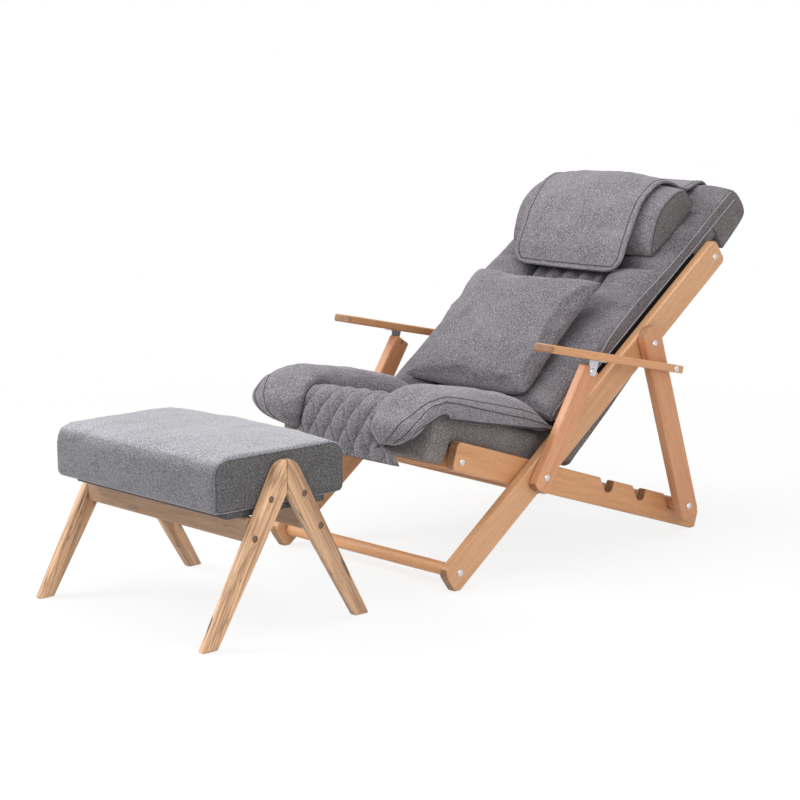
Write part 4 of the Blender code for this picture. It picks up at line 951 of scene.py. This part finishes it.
def inflate(item, pressure, frames, cap):
    """Blow a sewn pillow up with Blender's cloth, then keep its shape."""
    rest = [vertex.co.copy() for vertex in item.data.vertices]
    cloth = item.modifiers.new("cloth", "CLOTH")
    settings = {"quality": 6, "mass": 0.25, "tension_stiffness": 15, "compression_stiffness": 15,
                "shear_stiffness": 5, "bending_stiffness": 1.2, "use_pressure": True,
                "uniform_pressure_force": pressure}
    for key, value in settings.items():
        setattr(cloth.settings, key, value)
    cloth.settings.effector_weights.gravity = 0.0
    cloth.collision_settings.use_collision = False
    cloth.point_cache.frame_start = 1
    cloth.point_cache.frame_end = frames
    scene = bpy.context.scene
    for step in range(1, frames + 1):
        scene.frame_set(step)
    graph = bpy.context.evaluated_depsgraph_get()
    result = [vertex.co.copy() for vertex in item.evaluated_get(graph).data.vertices]
    item.modifiers.clear()
    scene.frame_set(1)
    for vertex, before, after in zip(item.data.vertices, rest, result):
        move = after - before
        if move.length > cap:
            move = move.normalized() * cap
        vertex.co = before + move
    item.data.update()


def sewn_pillow(name, half_x, half_u, columns, rows, thick):
    """Two cloth panels sewn together at the rim, with their sides drawn in between the corners."""
    mesh = bpy.data.meshes.new(name)
    bm = bmesh.new()
    sheets = []
    for sign in (1, -1):
        sheet = []
        for row in range(rows + 1):
            line = []
            for column in range(columns + 1):
                a = sin(pi / 2 * (2 * column / columns - 1))
                b = sin(pi / 2 * (2 * row / rows - 1))
                rim = row in (0, rows) or column in (0, columns)
                if sign < 0 and rim:
                    line.append(sheets[0][row][column])
                    continue
                rise = thick / 2 * ((1 - a ** 2) * (1 - b ** 2)) ** 0.40
                turned = 1 - (0.055 if b < 0 < a else 0.012) * abs(a * b) ** 6
                x = a * half_x * (1 - 0.055 * (1 - b ** 2) * abs(a)) * turned
                u = b * half_u * (1 - (0.055 if b > 0 else -0.030) * (1 - a ** 2) * abs(b)) * turned
                slack = 0.0030 * ripple((a, b, sign), 2.3, 2.0) + 0.0016 * ripple((a, b, sign), 5.5, 7.0)
                line.append(bm.verts.new((x, u, sign * rise + (0 if rim else slack))))
            sheet.append(line)
        sheets.append(sheet)
        sheet_faces(bm, sheet)
    outward(bm)
    bm.to_mesh(mesh)
    bm.free()
    return add_object(name, mesh)


def make_lumbar():
    half_x, half_u = 0.203, 0.178
    columns, rows = 64, 56
    item = sewn_pillow("lumbar_pillow_cover", half_x, half_u, columns, rows, 0.092)
    inflate(item, pressure=2.2, frames=20, cap=0.010)
    tilt = radians(6.5)
    start, low = 0.126, 0.1023
    front, back = 0.0525, 0.0165
    narrow, shift = 0.985, 0.011
    for vertex in item.data.vertices:
        x, u, h = vertex.co
        along = u + half_u
        h = min(h, front)
        if h < 0:
            h = -back * (1 - exp(h / back))
        vertex.co = on_back(x * narrow + shift, start + along * cos(tilt) - h * sin(tilt),
                            low + along * sin(tilt) + h * cos(tilt))
    item.data.materials.append(grey_cloth)
    item.data.shade_smooth()
    item.data.update()
    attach(item, "lumbar_pillow_loose")
    cover_for("lumbar_pillow")


HEAD_LOW = 0.0925
HEAD_MIDDLE = ((0.621, 0.0925), (0.6195, 0.101), (0.623, 0.113), (0.634, 0.131), (0.652, 0.149),
               (0.676, 0.165), (0.705, 0.176), (0.735, 0.1815), (0.762, 0.182), (0.785, 0.1755),
               (0.802, 0.163), (0.811, 0.146), (0.8135, 0.125), (0.8130, 0.106), (0.811, 0.0925))
HEAD_END = ((0.626, 0.0925), (0.625, 0.098), (0.629, 0.106), (0.641, 0.118), (0.656, 0.131),
            (0.674, 0.1445), (0.698, 0.157), (0.726, 0.163), (0.755, 0.162), (0.782, 0.156), (0.800, 0.147),
            (0.8095, 0.134), (0.8125, 0.118), (0.8120, 0.105), (0.810, 0.0925))


def make_head_pillow():
    half, narrow, shift = 0.224, 0.982, 0.004
    count = 44
    middle, _ = smooth_path(HEAD_MIDDLE, count)
    panel, _ = smooth_path(HEAD_END, count)
    centre = Vector((0.722, 0.122))

    def loop_at(x, shrink):
        share = (abs(x) / half) ** 3
        across = x * narrow + shift
        loop = []
        for first, last in zip(middle, panel):
            spot = first.lerp(last, share)
            away = spot - centre
            wave = 0.0022 * ripple((x * 1.2, spot.x, spot.y), 22.0, 8.0) * (1 - share)
            spot = spot + away.normalized() * (wave - shrink)
            loop.append(on_back(across, spot.x, max(spot.y, HEAD_LOW)))
        for k in range(1, 8):
            spot = panel[-1].lerp(panel[0], k / 8)
            loop.append(on_back(across, spot.x, HEAD_LOW))
        return loop

    edge = 0.009
    turn = [(edge * (1 - cos(pi / 2 * k / 6)), edge * (1 - sin(pi / 2 * k / 6))) for k in range(6)]
    stops = [(-half + inset, shrink) for inset, shrink in turn]
    stops += [(x, 0.0) for x in spread(-half + edge, half - edge, 60)]
    stops += [(half - inset, shrink) for inset, shrink in reversed(turn)]
    loops = [loop_at(x, shrink) for x, shrink in stops]
    # Painted shade: the pillow's end faces take the darker end cloth.
    pillow = finish_mesh("head_pillow_cover", loops_mesh(loops), grey_cloth, "back_frame", 70.0,
                         pillow_end_shade_cloth)
    cover_for("head_pillow")
    for word, side in SIDES:
        spots = loop_at(side * (half - 0.0012), 0.0045)[:count + 1]
        tube("head_pillow_seam_" + word, spots, 0.0011, seam_cloth, "back_frame")


FLAP_KNOTS = ((0.9213, 0.010), (0.9219, 0.045), (0.9145, 0.0715), (0.8865, 0.0855), (0.860, 0.098),
              (0.840, 0.122), (0.8235, 0.150), (0.803, 0.172), (0.777, 0.184), (0.750, 0.1875),
              (0.710, 0.1835), (0.672, 0.170), (0.636, 0.151), (0.605, 0.132), (0.580, 0.1155),
              (0.555, 0.100))
FLAP_DROPS = ((0.56, 0.0), (0.60, 0.001), (0.636, 0.003), (0.672, 0.004), (0.75, 0.004), (0.79, 0.005),
              (0.826, 0.006), (0.87, 0.002), (0.91, 0.0))
FLAP_CREASES = (((0.095, 0.315), (0.072, 0.400)), ((0.060, 0.330), (0.038, 0.415)),
                ((-0.105, 0.330), (-0.128, 0.410)), ((0.120, 0.235), (0.104, 0.290)),
                ((-0.060, 0.395), (-0.010, 0.425)))


def make_head_flap():
    rows, columns = 110, 64
    path, length = smooth_path(FLAP_KNOTS, rows)
    normals = squares(path)
    half, corner, thick, shift, inset = 0.168, 0.042, 0.005, 0.008, 0.008

    def ring(i, j):
        """Corners once round the sheet, i rows and j columns inside its edge."""
        low, high = rows - i, columns - j
        return ([(i, c) for c in range(j, high)] + [(r, high) for r in range(i, low)]
                + [(low, c) for c in range(high, j, -1)] + [(r, j) for r in range(low, i, -1)])

    def half_at(share):
        left = (1 - share) * length
        if left > corner:
            return half - 0.010 * ease(0.45 - share, 0.0, 0.35)
        return half - corner + sqrt(max(0.0, corner ** 2 - (corner - left) ** 2))

    def lift_at(x, share, spot):
        across = (x / half) ** 2
        s = share * length
        drape = 0.0034 * ripple((x * 1.4, s * 0.7, 0), 15.0, 5.0) + 0.0015 * ripple((x, s, 0), 42.0, 7.0)
        sink = curve(spot.x, FLAP_DROPS) * across
        tuck = 0.008 * (1 - across) * ease(share, 0.88, 1.0)
        tent = 0.008 * (1 - across) * ease(share, 0.14, 0.34) * (1 - ease(share, 0.62, 0.80))
        fold = 0.0
        for first, last in FLAP_CREASES:
            run = Vector(last) - Vector(first)
            along = (Vector((x, s)) - Vector(first)).dot(run) / run.length_squared
            away = (Vector((x, s)) - Vector(first) - run * min(1.0, max(0.0, along))).length
            ridge = 0.0035 * exp(-(away / 0.006) ** 2)
            fold += ridge * ease(along, -0.1, 0.3) * ease(1.1 - along, 0.0, 0.4)
        loose = max(-0.001, drape) * ease(share, 0.25, 0.4) * (1 - ease(share, 0.93, 1.0))
        return loose + tent + fold - sink - tuck

    bm = bmesh.new()
    sheets = []
    for depth in (0.0, thick):
        sheet = []
        for row, (spot, square) in enumerate(zip(path, normals)):
            share = row / rows
            wide = half_at(share)
            line = []
            for column in range(columns + 1):
                x = wide * (2 * column / columns - 1)
                h = depth + lift_at(x, share, spot)
                line.append(bm.verts.new(on_back(x + shift, spot.x + square.x * h, spot.y + square.y * h)))
            sheet.append(line)
        sheets.append(sheet)
    for sheet in sheets:
        sheet_faces(bm, sheet)
    rim = ring(0, 0)
    for index, (i, j) in enumerate(rim):
        k, m = rim[(index + 1) % len(rim)]
        bm.faces.new((sheets[0][i][j], sheets[0][k][m], sheets[1][k][m], sheets[1][i][j]))
    edge = [(sheets[0][i][j].co + sheets[1][i][j].co) / 2 for i, j in rim]
    inside = ring(round(rows * inset / length), round(columns * inset / (2 * half)))
    stitch = [sheets[1][i][j].co.copy() for i, j in inside]
    flap = finish_mesh("head_flap_cover", bm, lit_flap_cloth, "back_frame")
    cord = tube("head_flap_hem", edge, 0.0040, lit_flap_cloth, "back_frame", closed=True)
    # A dark line just inside the hem: a stitch, with painted shadow beside the hem cord.
    stitch_shadow = tube("head_flap_stitch_shadow", stitch, 0.0011, seam_cloth, "back_frame", closed=True)
    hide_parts("head_flap")


# Footstool


def make_stool_cushion():
    """A foam block: the cover wraps it front to back and turns round its ends to a sewn-in end panel."""
    half_x, half_u = 0.2635, 0.168
    low, high = 0.2580, 0.3685
    half_n, middle = (high - low) / 2, (high + low) / 2
    crown, edge_round = 0.013, 0.011
    top_round, low_round = 0.036, 0.016

    def rounded(u, n, inset):
        share = max(abs(u) / half_u, abs(n) / half_n)
        if share == 0:
            return Vector((0.0, 0.0))
        rounding = (top_round if n > 0 else low_round) - inset
        wide, tall = half_u - inset, half_n - inset
        edge = Vector((u / share * wide / half_u, n / share * tall / half_n))
        core = Vector((max(rounding - wide, min(wide - rounding, edge.x)),
                       max(rounding - tall, min(tall - rounding, edge.y))))
        away = edge - core
        if away.length > 0:
            away = away.normalized() * rounding
        return (core + away) * share

    def shape(x, u, n):
        end = min(1.0, max(0.0, abs(x) - half_x + edge_round) / edge_round)
        spot = rounded(u, n, edge_round * (1 - sqrt(1 - end ** 2)))
        rise = (spot.y + half_n) / (2 * half_n)
        bow = (1 - (x / half_x) ** 4) * (1 - (spot.x / half_u) ** 2)
        uneven = 0.0022 * ripple((x, u, n), 13.0, 11.0) + 0.0008 * ripple((x, u, n), 46.0, 3.0)
        grow = uneven * (0.3 + 0.7 * rise) * (1 - end)
        bulge = 0.004 * (1 - abs(x / half_x) ** 2) * (1 - (spot.y / half_n) ** 2)
        reach = spot.x + (grow + bulge) * spot.x / half_u
        return on_stool(x, reach, middle + spot.y + crown * bow * rise + grow * rise)

    stops_x = [half_x - edge_round * (1 - sin(pi / 2 * k / 7)) for k in range(7, 0, -1)]
    flat = half_x - edge_round
    stops_x = [-stop for stop in stops_x] + spread(-flat, flat, 34) + stops_x[::-1]
    stops_n = [-half_n + rise for rise in (0.0, 0.0015, 0.005, 0.010, low_round)]
    wall = 2 * half_n - low_round - top_round
    stops_n += [-half_n + low_round + wall * k / 4 for k in range(1, 5)]
    stops_n += [half_n - top_round * (1 - cos(pi / 4 * k / 5)) for k in range(4, -1, -1)]
    axes = [stops_x, stations(half_u, top_round, 20, 5), stops_n]
    # Painted shade: the cushion's end faces take the darker end cloth.
    cushion = finish_mesh("stool_cushion_cover", lattice_shell(axes, shape), stool_cloth, "footstool", 60.0,
                          stool_side_shade_cloth, 0.90)
    cover_for("stool_cushion")
    for word, side in SIDES:
        ring = [(u, half_n) for u in spread(-half_u, half_u, 60)[:-1]]
        ring += [(half_u, n) for n in spread(half_n, -half_n, 24)[:-1]]
        ring += [(-u, -n) for u, n in ring]
        spots = [shape(side * (half_x - 0.0011), u, n) for u, n in ring]
        tube("stool_seam_" + word, spots, 0.0007, seam_cloth, "footstool", closed=True)


def make_stool_plugs():
    """Wood-filler plugs deep in the screw recesses of the stool's legs."""
    foot_outer, foot_inner, apex = 0.216, 0.179, 0.2836
    for word, side in SIDES:
        for end, sign in (("front", -1), ("back", 1)):
            for level, height in (("upper", 0.277), ("lower", 0.205)):
                outer = foot_outer - height * tan(STOOL_LEAN)
                inner = foot_inner * (1 - height / apex)
                u = sign * (inner + 0.66 * (outer - inner))
                loops = []
                for x, radius in ((0.2800, 0.0068), (0.2817, 0.0068), (0.2821, 0.0056)):
                    turns = [2 * pi * k / 16 for k in range(16)]
                    loops.append([on_stool(side * x, u + radius * cos(turn), height + radius * sin(turn))
                                  for turn in turns])
                name = "stool_plug_%s_%s_%s" % (level, end, word)
                plug = finish_mesh(name, loops_mesh(loops), plug_look, "footstool", 40.0)


make_seat_cushion()
make_seat()
make_back_cushion()
make_back_pad()
make_head_cap()
make_lumbar()
make_head_pillow()
make_head_flap()
make_stool_cushion()
make_stool_plugs()


# Stage, light and camera


def straight_rays(tree):
    """One for rays that see the set straight on, in a mirror or through glass."""
    rays = tree.nodes.new("ShaderNodeLightPath")
    total = rays.outputs["Is Camera Ray"]
    for word in ("Is Glossy Ray", "Is Transmission Ray"):
        plus = tree.nodes.new("ShaderNodeMath")
        plus.operation = "ADD"
        plus.use_clamp = True
        tree.links.new(total, plus.inputs[0])
        tree.links.new(rays.outputs[word], plus.inputs[1])
        total = plus.outputs["Value"]
    return total


def make_stage():
    bm = bmesh.new()
    bmesh.ops.create_grid(bm, x_segments=1, y_segments=1, size=40.0)
    mesh = bpy.data.meshes.new("studio_floor")
    bm.to_mesh(mesh)
    bm.free()
    made = Nodes("studio_floor")
    made.set(Base_Color=(0.90, 0.90, 0.90, 1.0), Roughness=0.9, Specular_IOR_Level=0.05)
    output = made.tree.nodes["Material Output"]
    glow = made.add("ShaderNodeEmission", Color=(1.0, 1.0, 1.0, 1.0), Strength=1.0)
    blend = made.add("ShaderNodeMixShader")
    distance = made.add("ShaderNodeVectorMath", operation="LENGTH")
    made.link(made.coordinates(), distance.inputs[0])
    spread = made.add("ShaderNodeMapRange", **{"From Min": 0.9, "From Max": 2.6, "To Min": 0.84})
    made.link(distance.outputs["Value"], spread.inputs["Value"])
    seen = made.add("ShaderNodeMath", operation="MULTIPLY")
    made.link(straight_rays(made.tree), seen.inputs[0])
    made.link(spread.outputs["Result"], seen.inputs[1])
    made.link(seen.outputs["Value"], blend.inputs["Fac"])
    made.link(made.shader.outputs["BSDF"], blend.inputs[1])
    made.link(glow.outputs["Emission"], blend.inputs[2])
    made.link(blend.outputs["Shader"], output.inputs["Surface"])
    mesh.materials.append(made.material)
    floor = add_object("studio_floor", mesh)
    floor.location = (0, 0, -0.0005)

    world = bpy.data.worlds.new("studio")
    bpy.context.scene.world = world
    world.use_nodes = True
    tree = world.node_tree
    light = tree.nodes["Background"]
    white = tree.nodes.new("ShaderNodeBackground")
    for node, strength in ((light, 0.50), (white, 1.0)):
        node.inputs["Color"].default_value = (1.0, 1.0, 1.0, 1.0)
        node.inputs["Strength"].default_value = strength
    choose = tree.nodes.new("ShaderNodeMixShader")
    tree.links.new(straight_rays(tree), choose.inputs["Fac"])
    tree.links.new(light.outputs["Background"], choose.inputs[1])
    tree.links.new(white.outputs["Background"], choose.inputs[2])
    tree.links.new(choose.outputs["Shader"], tree.nodes["World Output"].inputs["Surface"])


def area_light(name, spot, aim, size, power):
    data = bpy.data.lights.new(name, "AREA")
    data.shape = "DISK"
    data.size = size
    data.energy = power
    lamp = add_object(name, data)
    lamp.location = spot
    lamp.rotation_euler = (Vector(aim) - Vector(spot)).to_track_quat("-Z", "Y").to_euler()


def make_camera():
    azimuth, elevation, distance = radians(46.50), radians(9.99), 4.735
    target = Vector((0.0033, PIVOT_Y - 0.1449, 0.3634))
    away = Vector((sin(azimuth) * cos(elevation), -cos(azimuth) * cos(elevation), sin(elevation)))
    data = bpy.data.cameras.new("photo_camera")
    data.sensor_width = 36.0
    data.lens = 95.9
    camera = add_object("photo_camera", data)
    camera.location = target + away * distance
    camera.rotation_euler = (-away).to_track_quat("-Z", "Y").to_euler()
    bpy.context.scene.camera = camera


make_stage()
area_light("key", (-2.2, -2.5, 2.7), (0, -0.1, 0.3), 2.2, 105.0)
area_light("top", (0.2, 0.2, 3.6), (0, 0.0, 0.3), 2.6, 54.0)
area_light("fill", (3.0, -1.2, 1.6), (0, 0.0, 0.35), 2.4, 32.0)
make_camera()
bpy.context.scene.view_settings.view_transform = "Standard"
